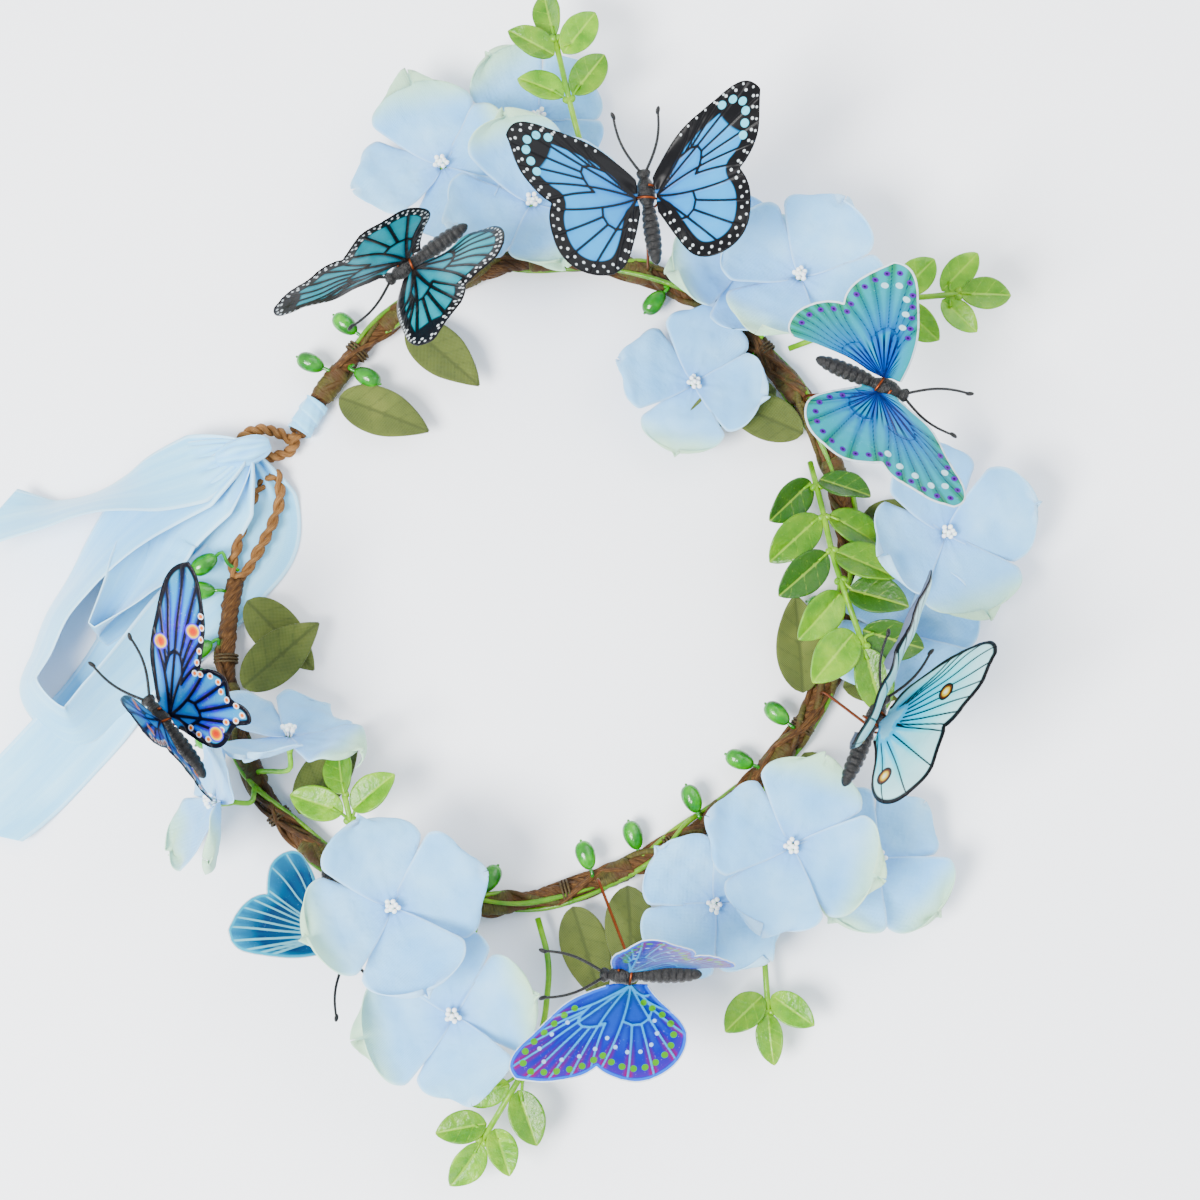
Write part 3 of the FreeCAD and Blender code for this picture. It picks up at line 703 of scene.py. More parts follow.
def add_petal(shape, origin, x, y, normal, reach):
    """One petal: a dished blade with frills, its own bends and fine veins."""
    rows, columns = 26, 21
    share = 0.04 + 0.96 * (1 - (1 - np.linspace(0, 1, rows)) ** 1.5)[:, None]
    across = np.linspace(-1, 1, columns)[None, :]
    edge = np.abs(across)
    reach = reach * rng.uniform(*PETAL_REACH)
    frill = 1 + (0.035 * np.sin(across * 7 + rng.random() * 6) + 0.012 * np.sin(across * 31)) * share**3
    along = reach * share * frill
    wide = reach * petal_outline(share) * across
    along = along * (1 - 0.10 * share * edge**2.2)
    tilt = PINWHEEL * (0.8 + 0.5 * rng.random())
    height = (along**2 + wide**2) / (2 * DISH_RADIUS) + wide * math.tan(tilt) * np.minimum(share * 2, 1)
    height = height + along * math.tan(math.radians(rng.uniform(*PETAL_PITCH)))
    height = height + rng.uniform(*PETAL_CUP) * MM * across**2 * share
    height = height + rng.uniform(*PETAL_TWIST) * MM * across * share**2
    height = height + 1.3 * MM * share**2 * np.sin(across * rng.uniform(4, 6.5) + rng.random() * 6) * edge
    height = height + 0.5 * MM * share * np.sin(share * 19 + across * 3 + rng.random() * 6)
    height = height - rng.uniform(*PETAL_TIP_TURN) * MM * np.maximum(share - 0.7, 0) ** 2 / 0.09
    veins = np.cos(across * 15) * np.exp(-((share - 0.5) / 0.3) ** 2)
    height = height + 0.07 * MM * veins + 0.35 * MM * np.exp(-(across / 0.08) ** 2) * (1 - share)
    rim = np.minimum((1 - share) * 12, (1 - edge) * petal_outline(share) * reach / MM)
    shape.add(origin + spread_over((x, y, normal), along, wide, height), grid_faces(rows, columns),
              np.stack([along / MM, wide / MM], axis=-1),
              reach=(share + 0 * across).ravel(), rim=rim.ravel(), tint=rng.choice(PETAL_TINTS))


def add_stamens(shape, origin, x, y, normal):
    """A tuft of short threads with a bead on each, spread in a spiral."""
    for number in range(STAMENS):
        turn, lean = STAMEN_TURN * number, STAMEN_LEAN * math.sqrt(number)
        axis = unit(normal + lean * (math.cos(turn) * x + math.sin(turn) * y))
        base = origin + normal * 0.5 * MM + (axis - normal) * 2.4 * MM
        tip = base + axis * rng.uniform(2.0, 3.0) * MM
        add_tube(shape, np.linspace(base, tip, 4), 0.28 * MM, 6)
        add_bead(shape, tip, axis, 1.8 * MM, 1.5 * MM)


def add_calyx(shape, origin, normal):
    """Green cup under the petals and the stem that carries it to the hoop."""
    drop, cup = np.array(CUP).T * MM
    add_tube(shape, origin - np.outer(drop, normal), cup, 14)
    start = origin - normal * STEM_START
    foot = hoop.nearest(origin)
    pull = max(6 * MM, 0.35 * np.linalg.norm(foot - start))
    rise = foot + unit(start - foot) * 4 * MM
    middle = (start + 2 * rise) / 3 - normal * 2 * MM
    line = through([start, start - normal * pull * 0.6, middle, rise, foot], 18)
    line[:, 2] = np.maximum(line[:, 2], STEM_ABOVE_FLOOR)
    add_tube(shape, line, STEM_RADIUS, 8)


def nodes_named(start, *besides):
    return sorted(name for name in frame["nodes"] if name.startswith(start) and name not in besides)


def make_florets(petal, stamen, calyx):
    tufts, stems = Shape(), Shape()
    for node in nodes_named("floret_", "floret_stamens", "floret_calyces"):
        origin, x, y, normal, reach = floret_frame(node)
        shape = Shape()
        for number in range(PETALS):
            turn = 2 * math.pi * number / PETALS
            along = math.cos(turn) * x + math.sin(turn) * y
            add_petal(shape, origin + normal * PETAL_ABOVE_CUP, along, np.cross(normal, along), normal, reach)
        shape.make(node + "_petals", CROWN, "petal_fabric", petal, replaces=[node], thickness=PETAL_THICKNESS)
        add_stamens(tufts, origin, x, y, normal)
        add_calyx(stems, origin, normal)
    tufts.make("stamen_tufts", CROWN, "stamen_tuft", stamen, replaces=["floret_stamens"])
    stems.make("calyx_stems", CROWN, "calyx_plastic", calyx, replaces=["floret_calyces"])


# ---------------------------------------------------------------- leaves and berries

VEIN_DEPTH = 0.16 * MM
VEIN_WIDTH = 0.45
# turns of a leaf about its own length and up or down, in degrees
LEAF_ROLL = (-32, 32)
LEAF_NOD = (-16, 16)
# a leaf's shape: fold of its halves, depth of its ruffle, count of its ribs, where it is widest
SPRIG_LEAF = (0.35, 0.4 * MM, 4, 0.47)
FABRIC_LEAF = (0.22, 1.0 * MM, 6, 0.42)
LEAF_BLUNT = 0.62
SPRIG_THICKNESS = 0.5 * MM
FABRIC_THICKNESS = 0.35 * MM
DARK_SPRIG = "sprig_right"
DARK_SPRIG_SIZE = 1.25
BERRY_SWELL = 1.15
BERRY_NEARER = 1.2 * MM
BERRY_RADIUS = 2.9 * MM


def leaf_outline(share, widest):
    """Half width of a leaf as a share of its greatest, pointed at the tip."""
    tip = LEAF_BLUNT * (1 - widest) / widest
    peak = widest**LEAF_BLUNT * (1 - widest) ** tip
    return np.maximum(share**LEAF_BLUNT * (1 - share) ** tip / peak, 0.03)


def add_leaf(shape, base, along, normal, length, width, droop, shade, form):
    """A leaf with a folded midrib, a bent tip and pressed side veins."""
    fold, ruffle, ribs, widest = form
    rows, columns = 30, 17
    share = np.linspace(0, 1, rows)[:, None]
    across = np.linspace(-1, 1, columns)[None, :]
    wide = width / 2 * leaf_outline(share, widest) * across
    height = fold * np.abs(wide) - droop * share**2 + ruffle * share * across**2 * np.sin(share * 11 + across)
    slant = (share - 0.32 * np.abs(across) * (width / length)) * ribs
    rib = np.abs((slant + 0.5) % 1 - 0.5) * length / ribs / MM
    vein = np.minimum(np.abs(wide) / MM, rib * 0.9 + 0.25)
    height = height - VEIN_DEPTH * np.exp(-(vein / VEIN_WIDTH) ** 2)
    axes = (along, np.cross(normal, along), normal)
    uv = np.stack([length * share / MM + 0 * across, wide / MM], axis=-1)
    place = base + spread_over(axes, length * share + 0 * across, wide, height)
    shape.add(place, grid_faces(rows, columns), uv, vein=vein.ravel(), shade=shade)


def leaf_frame(points, near):
    """Base, direction and normal of a CAD leaf; its base is the end nearer to the given points."""
    along, _, normal = main_axes(points)
    middle = points.mean(0)
    reach = (points - middle) @ along
    ends = [middle + along * reach.min(), middle + along * reach.max()]
    gaps = [np.linalg.norm(near - end, axis=1).min() for end in ends]
    if gaps[1] < gaps[0]:
        ends.reverse()
    if normal[2] < 0:
        normal = -normal
    return ends[0], unit(ends[1] - ends[0]), normal, np.linalg.norm(ends[1] - ends[0])


def make_sprigs(material):
    for node in nodes_named("sprig_"):
        found = sorted(solids(node), key=lambda solid: -np.ptp(solid[0], axis=0).max())
        stem, leaves = found[0], found[1:]
        shape, blades = Shape(), Shape()
        plain = dict(vein=FAR, shade=0.0)
        shape.add(*stem, **plain)
        is_dark = node == DARK_SPRIG
        for points, _ in leaves:
            base, along, normal, length = leaf_frame(points, stem[0])
            joint = stem[0][np.linalg.norm(stem[0] - base, axis=1).argmin()]
            stalk = through([joint, (joint + base) / 2, base + along * length * 0.25], 6)
            add_tube(shape, stalk, 0.5 * MM, 6, **plain)
            add_bead(shape, joint, along, 2.6 * MM, 2.2 * MM, **plain)
            roll, nod = np.radians(rng.uniform(*LEAF_ROLL)), np.radians(rng.uniform(*LEAF_NOD))
            side = np.cross(normal, along)
            along = unit(along * math.cos(nod) + normal * math.sin(nod))
            normal = unit(np.cross(along, side) * math.cos(roll) + side * math.sin(roll))
            size = length * rng.uniform(1.0, 1.2) * (DARK_SPRIG_SIZE if is_dark else 1)
            shade = 0.9 * rng.choice([0.1, 0.5, 1.0]) if is_dark else rng.choice([0, 0, 0.35])
            width, droop = size * rng.uniform(0.56, 0.68), rng.uniform(0.2, 3.0) * MM
            add_leaf(blades, base, along, normal, size, width, droop, shade, SPRIG_LEAF)
        shape.make(node + "_stem", CROWN, "sprig_plastic", material, replaces=[node])
        blades.make(node + "_leaves", CROWN, "sprig_plastic", material, thickness=SPRIG_THICKNESS)


def make_fabric_leaves(material):
    shape = Shape()
    line = hoop.line(np.arange(hoop.start, hoop.end, 2.0))
    for points, _ in solids("fabric_leaves"):
        base, along, normal, length = leaf_frame(points, line)
        width, droop = length * rng.uniform(0.46, 0.52), rng.uniform(-1.5, 2.5) * MM
        add_leaf(shape, base, along, normal, length, width, droop, 0.0, FABRIC_LEAF)
    shape.make("woven_leaves", CROWN, "leaf_fabric", material, replaces=["fabric_leaves"],
               thickness=FABRIC_THICKNESS)


def make_berries(material):
    shape = Shape()
    for points, _ in solids("berry_pips"):
        axis = main_axes(points)[0]
        centre = points.mean(0)
        foot = hoop.nearest(centre)
        if axis @ (centre - foot) < 0:
            axis = -axis
        half = BERRY_SWELL * ((points - centre) @ axis).max()
        centre = centre - BERRY_NEARER * axis
        turn = np.linspace(0.05, np.pi - 0.05, 19)
        path = centre - axis * (np.cos(turn) * half)[:, None]
        add_tube(shape, path, np.sin(turn) ** 0.9 * BERRY_RADIUS * (1 - 0.12 * np.cos(turn)), 20)
        add_bead(shape, centre + axis * half, axis, 1.2 * MM, 0.9 * MM)
        base = centre - axis * half
        stalk = through([base + axis * MM, base - axis * 2 * MM, (base + foot) / 2, foot], 12)
        add_tube(shape, stalk, 0.55 * MM, 8)
    shape.make("green_berries", CROWN, "berry_plastic", material, replaces=["berry_pips"])


# ---------------------------------------------------------------- ribbon

RIBBON_WIDTH = 25.0
RIBBON_THICKNESS = 0.3 * MM
RIBBON_STEP = 1.2
RIBBON_COLUMNS = 33
PLEATS = 5
PLEAT_DEPTH = 1.3
GATHER_LENGTH = 15.0
GATHERED = 0.3
FLOOR_GAP = 1.0

# each strip: the flat CAD stretches that it follows, by name and way, then its tilt in degrees at
# equal shares of its length, from knot to knot or from knot to cut end
STRIPS = {
    "ribbon_loop_outer": ((("loop_outer", 1), ("loop_return", -1)), (15, 34, 54, 64, 74, 56, 30, 5, 0)),
    "ribbon_loop_inner": ((("loop_inner", 1), ("loop_inner", -1)), (10, 22, 34, 60, 84, 60, 30, 12, 5)),
    "ribbon_tail_upper": ((("tail_upper", 1),), (10, 40, 58, 62, 54, 36)),
    "ribbon_tail_lower": ((("tail_lower", 1),), (0, 3, 0, 8, -10, -4, 2)),
}
STRETCHES = ("loop_return", "tail_lower", "loop_inner", "loop_outer", "tail_upper")
LIFT = {"loop_outer": 4.0, "loop_inner": 2.5}
CUT_SLANT = {"ribbon_tail_upper": 9.0, "ribbon_tail_lower": -9.0}
CUT_LENGTH = 20
FOLD_DROP = 5.0
# the knot's two radii, and the wrap's stations before the hoop's end, radius and overlap
KNOT_RADII = (4.4, 5.0)
WRAP_STATIONS = (-7.5, -0.5)
WRAP_RADIUS = 3.35
WRAP_RIDGE = 0.55
WRAP_LAPS = 2.6


def stretch_line(points, faces, knot, count=7):
    """Middle line of a flat stretch of the CAD bow, in millimetres, from its end at the knot outwards."""
    level = points[:, 2]
    top = [face for face in faces if level[list(face)].min() > level.mean()]
    rim = points[Wing.ring(top)][:, :2] / MM
    way = main_axes(rim)[0]
    if way @ (rim.mean(0) - knot[:2]) < 0:
        way = -way
    side = np.array((-way[1], way[0]))
    start, after = rim, np.roll(rim, -1, axis=0)
    reach = rim @ way
    line = []
    for cut in np.linspace(reach.min(), reach.max(), count + 2)[1:-1]:
        first, second = start @ way - cut, after @ way - cut
        crossed = first * second < 0
        share = (first / (first - second))[crossed][:, None]
        across = (start[crossed] + share * (after - start)[crossed]) @ side
        line.append(way * cut + side * (across.min() + across.max()) / 2)
    return np.column_stack([line, np.full(count, level.mean() / MM)])


def strip_rows(name, stretches, knot):
    """Middle line of a strip from the knot along its stretches, and back to the knot if it is a loop."""
    way, tilts = STRIPS[name]
    rows = [knot]
    for number, (stretch, direction) in enumerate(way):
        line = stretches[stretch][::direction].copy()
        line[:, 2] += LIFT.get(stretch, 0)
        if number and stretch == way[0][0]:
            line[:, 2] -= FOLD_DROP
            line = line[1:]
        rows += list(line)
    if len(way) > 1:
        rows.append(knot - (0, 0, FOLD_DROP))
    rows = np.array(rows)
    tilt = np.interp(np.linspace(0, 1, len(rows)), np.linspace(0, 1, len(tilts)), tilts)
    return np.column_stack([rows, tilt])


def make_strip(name, rows, material):
    """One satin strip: spread flat where it is free, pleated where the knot gathers it."""
    half = RIBBON_WIDTH / 2
    length = int(np.linalg.norm(np.diff(rows[:, :3], axis=0), axis=1).sum() / RIBBON_STEP)
    curve = through(rows, length)
    line, tilt = curve[:, :3].copy(), np.radians(curve[:, 3])
    travelled = distances(line)
    near = np.minimum(travelled, travelled[-1] - travelled) if "loop" in name else travelled
    spread = GATHERED + (1 - GATHERED) * np.clip(near / GATHER_LENGTH, 0, 1) ** 0.8
    line[:, 2] = np.maximum(line[:, 2], spread * half * np.abs(np.sin(tilt)) + FLOOR_GAP)
    along = unit(np.gradient(line, axis=0))
    level = unit(np.cross((0, 0, 1), along))
    across = np.cos(tilt)[:, None] * level + np.sin(tilt)[:, None] * np.cross(along, level)
    normal = np.cross(along, across)
    share = np.linspace(-1, 1, RIBBON_COLUMNS)[None, :]
    travelled, spread = travelled[:, None], spread[:, None]
    slack = np.sqrt(np.maximum(1 - spread**2, 0))
    phase = rng.random() * 6
    crease = share * PLEATS * np.pi * 0.9 + phase
    wave = 0.8 * np.sin(travelled / 13 + share * 1.2 + phase) * (1 - slack)
    wave = wave + 0.9 * share**2 * np.sin(travelled / 23 + phase)
    slide = CUT_SLANT.get(name, 0) * share
    slide = slide * np.clip((travelled - travelled[-1] + CUT_LENGTH) / CUT_LENGTH, 0, 1)
    lift = slack * PLEAT_DEPTH * np.sin(crease) + wave
    axes = [axis[:, None] for axis in (across, normal, along)]
    place = line[:, None] + spread_over(axes, half * spread * share, lift, slide)
    place[..., 2] = np.maximum(place[..., 2], FLOOR_GAP / 2)
    rim = half * (1 - np.abs(share)) + 0 * travelled
    # Painted shade: the field below is highest in the hollows of the pleats near the knot.
    deep = np.clip(slack * (0.5 - 0.5 * np.sin(crease)), 0, 1)
    shape = Shape()
    shape.add(place * MM, grid_faces(length, RIBBON_COLUMNS), paired(travelled, share * half),
              rim=rim.ravel(), deep=deep.ravel())
    piece = shape.make(name, CROWN, "satin_ribbon", material, thickness=RIBBON_THICKNESS,
                       replaces=["ribbon_bow"] if name == "ribbon_loop_outer" else ())


def make_ribbon(material):
    """The bow's loops and tails, told apart in the CAD by their height, lowest first."""
    low, high = (np.array(corner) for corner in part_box("ribbon_knot"))
    knot = (low + high) / 2 / MM
    found = sorted(solids("ribbon_bow"), key=lambda solid: solid[0][:, 2].mean())
    stretches = {name: stretch_line(*solid, knot) for name, solid in zip(STRETCHES, found)}
    for name in STRIPS:
        make_strip(name, strip_rows(name, stretches, knot), material)
    make_knot(material)
    make_end_wrap(material)


def make_knot(material):
    """Pleated knot over the crossing of the loops, with its turn round the middle."""
    points = welded("ribbon_knot")[0]
    long_way = main_axes(points)[0]
    centre = (points.min(0) + points.max(0)) / 2
    half = ((points - centre) @ long_way).max()
    up = np.array((0, 0, 1.0))
    rings, sides = 40, 72
    turn, share = ring_turns(sides), np.linspace(-1, 1, rings)[:, None]
    girth = np.sqrt(np.maximum(1 - (share * 0.93) ** 2, 0))
    pleat = 1 + 0.07 * np.sin(turn * 9 + share * 2.5) * (1 - 0.4 * np.abs(share))
    pleat = pleat + 0.04 * np.sin(turn * 4 - share * 5)
    wide, high = (radius * MM * (girth * pleat) for radius in KNOT_RADII)
    axes = (long_way, unit(np.cross(long_way, up)), up)
    place = centre + spread_over(axes, half * share + 0 * turn, wide * np.cos(turn), high * np.sin(turn))
    # Painted shade: the field below is highest in the hollows between the knot's pleats.
    deep = np.clip(0.5 - 6 * (pleat - 1), 0, 1) * 0.6
    shape = Shape()
    shape.add(place, tube_faces(rings, sides), paired(share * half / MM, np.abs(turn - np.pi) * 4.5),
              rim=FAR, deep=deep.ravel())
    shape.make("ribbon_knot_folds", CROWN, "satin_ribbon", material, replaces=["ribbon_knot"])


def make_end_wrap(material):
    """Ribbon wound round the rope behind the eye, in overlapping slanted turns."""
    rings, sides = 44, 40
    first, last = WRAP_STATIONS
    path = hoop.line(np.linspace(hoop.end + first, hoop.end + last, rings))
    turn, share = ring_turns(sides), np.linspace(0, 1, rings)[:, None]
    lap = (share * WRAP_LAPS + turn / (2 * np.pi)) % 1
    radius = (WRAP_RADIUS + WRAP_RIDGE * lap + 0.12 * np.sin(turn * 8 + share * 9)) * MM
    shape = Shape()
    # The last field is painted shade, darkest just under the edge of each overlapping turn.
    shape.add(path[:, None] + radius[..., None] * outward(path, turn), grid_faces(rings, sides, wrap=True),
              paired(np.abs(turn - np.pi) * 3.5, share * 12), rim=FAR, deep=(0.5 * (1 - lap)).ravel())
    shape.make("ribbon_end_wrap", CROWN, "satin_ribbon", material, thickness=RIBBON_THICKNESS)


# ---------------------------------------------------------------- butterfly wings

WING_SPACING = 0.5
WING_THICKNESS = 0.3 * MM
ROOT_BAND = 0.6
INK_DEPTH = (1.3, 0.6)
VEIN_START = 0.25
BLACK = (.05, .05, .06)
WHITE = (.93, .96, .97)


class Wing:
    """One wing in millimetres: out from the hinge, fore along the body, up from the sheet."""

    def __init__(self, node, hinge, forward, side):
        points, faces = welded(node)
        normal = main_axes(points)[2]
        out = unit(np.cross(forward, normal))
        if (points.mean(0) - hinge) @ out < 0:
            out = -out
        self.up = np.cross(out, forward) * side
        self.out, self.forward, self.hinge = out, forward, hinge
        local = np.stack([(points - hinge) @ out, (points - hinge) @ forward], axis=1) / MM
        level = (points - hinge) @ self.up
        top = [face for face in faces if level[list(face)].min() > level.mean()]
        self.rim = self.resampled(local[self.ring(top)])
        self.landmarks()

    @staticmethod
    def ring(faces):
        """The outline of a patch of faces, as point numbers in order."""
        edges = [pair for face in faces for pair in zip(face, face[1:] + face[:1])]
        known = set(edges)
        after = {a: b for a, b in edges if (b, a) not in known}
        start = next(iter(after))
        loop = [start]
        while after[loop[-1]] != start:
            loop.append(after[loop[-1]])
        return loop

    @staticmethod
    def resampled(loop):
        closed = np.vstack([loop, loop[:1]])
        length = distances(closed)
        even = np.arange(0, length[-1] - WING_SPACING / 2, WING_SPACING)
        return np.stack([np.interp(even, length, column) for column in closed.T], axis=1)

    def landmarks(self):
        """Order the outline from the front of the root round to the back, and find apex and notch."""
        rim = self.rim
        self.root = np.array((rim[:, 0].min(), 0.0))
        at_root = rim[:, 0] < self.root[0] + ROOT_BAND
        front = np.flatnonzero(at_root)[rim[at_root][:, 1].argmax()]
        rim = np.roll(rim, -front, axis=0)
        if rim[3, 0] < rim[-3, 0]:
            rim = np.roll(rim[::-1], 1, axis=0)
        self.rim = rim
        far = np.linalg.norm(rim - self.root, axis=1)
        back = np.flatnonzero(rim[:, 0] < self.root[0] + ROOT_BAND)
        self.last = back[back > len(rim) // 2].min() if (back > len(rim) // 2).any() else len(rim) - 1
        self.apex = int(far.argmax())
        if rim[self.apex, 1] < 0:
            self.apex = int(far[:len(rim) // 2].argmax())
        step = self.apex
        while step + 4 < self.last and far[step + 4] <= far[step]:
            step += 1
        self.notch = step + int(far[step:step + 5].argmin())

    def targets(self, first, last, count):
        return [self.rim[int(round(i))] for i in np.linspace(first, last, count)]

    def vein_lines(self, fore_count=8, hind_count=7):
        """Veins from the root to the outline, bundled near the root, with a closed cell in each half."""
        lines = []
        groups = ((int(self.apex * 0.45), self.notch - 4, fore_count),
                  (self.notch + 3, self.last - 6, hind_count))
        for first, last, count in groups:
            ends = self.targets(first, last, count)
            middle = np.mean(ends, axis=0)
            crossing = []
            for number, end in enumerate(ends):
                lean = self.root + 0.5 * (0.5 * middle + 0.5 * end - self.root)
                share = np.linspace(0, 1, 18)[:, None]
                line = (1 - share) ** 2 * self.root + 2 * share * (1 - share) * lean + share**2 * end
                crossing.append(line[8])
                lines.append(line if number % 3 == 0 else line[8:])
            lines.append(np.array(crossing))
        return lines

    def inset(self, spacing, depth, first=0.0, last=1.0):
        """Points evenly spaced along the outline and set in from it."""
        stretch = self.rim[int(first * self.last):int(last * self.last)]
        picked = stretch[::max(int(round(spacing / WING_SPACING)), 1)]
        inward = unit(self.centre() - picked)
        return picked + inward * depth

    def centre(self):
        return self.root + 0.45 * (self.rim[:self.last].mean(0) - self.root)

    def spot(self, share, aim):
        """A point at a share of the way from the root to a share of the outline."""
        return self.root + share * (self.rim[int(aim * self.last)] - self.root)

    def grid(self):
        """Points and triangles that fill the outline."""
        low, high = self.rim.min(0), self.rim.max(0)
        across = np.arange(low[0], high[0], WING_SPACING)
        rows = []
        for number, y in enumerate(np.arange(low[1], high[1], WING_SPACING * 0.87)):
            rows.append(np.stack([across + WING_SPACING / 2 * (number % 2), np.full(len(across), y)], axis=1))
        inner = np.concatenate(rows)
        inner = inner[distance_to_points(inner, self.rim) > 0.6 * WING_SPACING]
        count = len(self.rim)
        ring = [(i, (i + 1) % count) for i in range(count)]
        loose = [Vector(p) for p in np.concatenate([self.rim, inner])]
        points, _, faces, _, _, _ = delaunay_2d_cdt(loose, ring, [list(range(count))], 1, 1e-4)
        return np.array([tuple(p) for p in points]), faces


def distance_to_points(points, targets):
    best = np.full(len(points), 1e9)
    for start in range(0, len(targets), 64):
        gap = points[:, None] - targets[None, start:start + 64]
        best = np.minimum(best, (gap**2).sum(-1).min(1))
    return np.sqrt(best)


def distance_to_lines(points, lines):
    best = np.full(len(points), 1e9)
    for line in lines:
        for start, end in zip(line, line[1:]):
            run = end - start
            share = np.clip(((points - start) @ run) / max(run @ run, 1e-9), 0, 1)
            best = np.minimum(best, np.linalg.norm(points - start - share[:, None] * run, axis=1))
    return best


# What is printed on each kind of wing. base: stops from root to outline. vein, margin, tip: width and
# colour. film: width of the clear edge. glow: colour between the veins. hair: reach and colour of fine
# lines at the root. dots: rows along the outline, each its depth, spacing, radius, colour, and first and
# last share of the outline. eyes: shares of the way from root to outline and along it. Millimetres.
WINGS = {
    "butterfly_top": dict(
        base=((0, .01, .30, .62), (.3, .01, .52, .86), (.75, .04, .64, .93), (1, .02, .48, .80)),
        vein=(0.36, BLACK), margin=(4.6, BLACK), tip=(14.0, BLACK), glow=(.06, .66, .95),
        dots=((1.1, 3.4, 0.40, WHITE, 0.12, 1.0), (2.9, 3.4, 0.48, WHITE, 0.25, 0.98),
              (6.2, 4.2, 1.3, (.60, .90, .98), 0.28, 0.47))),
    "butterfly_upper_left": dict(
        base=((0, .03, .16, .26), (.3, .02, .42, .52), (.7, .05, .60, .66), (1, .05, .30, .38)),
        vein=(0.6, (.06, .05, .05)), margin=(3.2, (.06, .05, .06)), tip=(9.0, (.07, .07, .09)),
        glow=(.15, .70, .76), dots=((1.1, 2.2, 0.42, WHITE, 0.15, 1.0), (2.4, 3.4, 0.5, WHITE, 0.3, 0.9))),
    "butterfly_upper_right": dict(
        base=((0, .01, .08, .42), (.3, .02, .36, .78), (.6, .02, .50, .70), (1, .02, .52, .36)),
        vein=(0.16, (.03, .10, .30)), margin=(0.55, BLACK), film=1.1, glow=(.10, .70, .78),
        hair=(0.42, (.02, .05, .28)),
        dots=((3.4, 4.4, 0.95, (.38, .16, .62), 0.2, 0.95), (3.4, 4.4, 0.42, (.10, .04, .25), 0.2, 0.95),
              (7.5, 6.0, 1.1, (.80, .93, .97), 0.28, 0.55))),
    "butterfly_right": dict(
        base=((0, .10, .52, .86), (.3, .30, .80, .98), (.7, .62, .95, .99), (1, .82, .98, .99)),
        vein=(0.3, BLACK), margin=(1.3, BLACK), glow=(.80, .98, .99), fan=True,
        eyes=((0.62, 0.40), (0.66, 0.80)), eye_size=3.0,
        eye_rings=((.16, .97, .97, .85), (.45, .93, .80, .30), (.6, .45, .22, .08), (.8, *BLACK))),
    "butterfly_bottom": dict(
        base=((0, .02, .34, .40), (.25, .03, .22, .56), (.6, .10, .16, .60), (.86, .38, .06, .44),
              (1, .52, .05, .36)),
        vein=(0.28, (.35, .68, .92)), margin=(1.2, (.06, .40, .92)), film=0.6, glow=(.06, .30, .78),
        dots=((4.2, 3.9, 1.0, (.30, .62, .10), 0.12, 0.97), (9.2, 6.2, 0.65, (.72, .84, .98), 0.2, 0.9))),
    "butterfly_lower_left": dict(
        base=((0, .02, .18, .30), (.4, .03, .34, .52), (.75, .03, .22, .42), (1, .10, .62, .80)),
        vein=(0.34, (.66, .90, .95)), margin=(0.9, (.20, .78, .92)), film=0.5, glow=(.05, .40, .60),
        fan=True),
    "butterfly_left": dict(
        base=((0, .10, .30, .66), (.35, .24, .52, .88), (.65, .42, .34, .80), (.85, .14, .26, .66),
              (1, .03, .04, .10)),
        vein=(0.5, (.04, .05, .12)), margin=(1.5, (.04, .04, .08)), glow=(.55, .82, .97),
        eyes=((0.66, 0.22), (0.72, 0.44), (0.80, 0.86)), eye_size=2.6,
        eye_rings=((.25, .86, .20, .06), (.5, .93, .42, .08), (.66, .96, .84, .20), (.84, .50, .46, .88)),
        dots=((3.0, 3.3, 0.95, (.93, .96, .98), 0.46, 0.97), (3.0, 3.3, 0.6, (.95, .45, .10), 0.46, 0.97))),
}


def wing_material(name, spec, printed):
    """Printed film: colour from the root outwards, veins, margin, spots and a clear edge."""
    shader = Shader(name + ("_print" if printed else "_underside"), shine=0.12,
                    Roughness=0.35 if printed else 0.5)
    reach, rim, vein = (shader.field(key) for key in ("reach", "rim", "vein"))
    ink = shader.ramp(shader.math("ADD", reach, shader.times(shader.noise(260, 2), 0.08)), *spec["base"])
    ink = shader.tint(ink, spec["glow"], shader.step(vein, 0.5, 1.9), 0.6)
    ink = shader.tint(ink, WHITE, shader.step(shader.noise(1500, 2), 0.6, 0.75), 0.18)
    if "hair" in spec:
        share, colour = spec["hair"]
        strand = shader.math("SINE", shader.times(shader.field("fan"), 46.0))
        near = shader.inside(reach, share, 0.12)
        ink = shader.tint(ink, colour, near, shader.step(strand, 0.1, 0.5))
    layers = [(vein, *spec["vein"], 0.16), (rim, *spec["margin"], 0.3)]
    if "tip" in spec:
        layers.append((shader.field("tip"), *spec["tip"], 0.5))
    for number, (_, _, radius, colour, _, _) in enumerate(spec.get("dots", ())):
        layers.append((shader.field("dots_%d" % number), radius, colour, 0.14))
    for field, width, colour, soft in layers:
        ink = shader.mix(shader.inside(field, width, soft), ink, colour)
    if "eyes" in spec:
        eye = shader.math("DIVIDE", shader.field("eye"), spec["eye_size"])
        ink = shader.mix(shader.inside(eye, 0.95, 0.05), ink, shader.ramp(eye, *spec["eye_rings"]))
    if "film" in spec:
        ink = shader.mix(shader.inside(rim, spec["film"] * 0.5, 0.12), ink, (.90, .95, .98))
    if not printed:
        ink = shader.mix(0.5, ink, (.58, .63, .74))
    ripple = shader.bump(shader.noise(120, 2), 0.7 * MM)
    relief = shader.bump(shader.inside(vein, 0.4, 0.3), 0.12 * MM, ripple)
    return shader.finish(shader.node("HueSaturation", 0.5, *INK_DEPTH, 1.0, ink).outputs[0], relief)


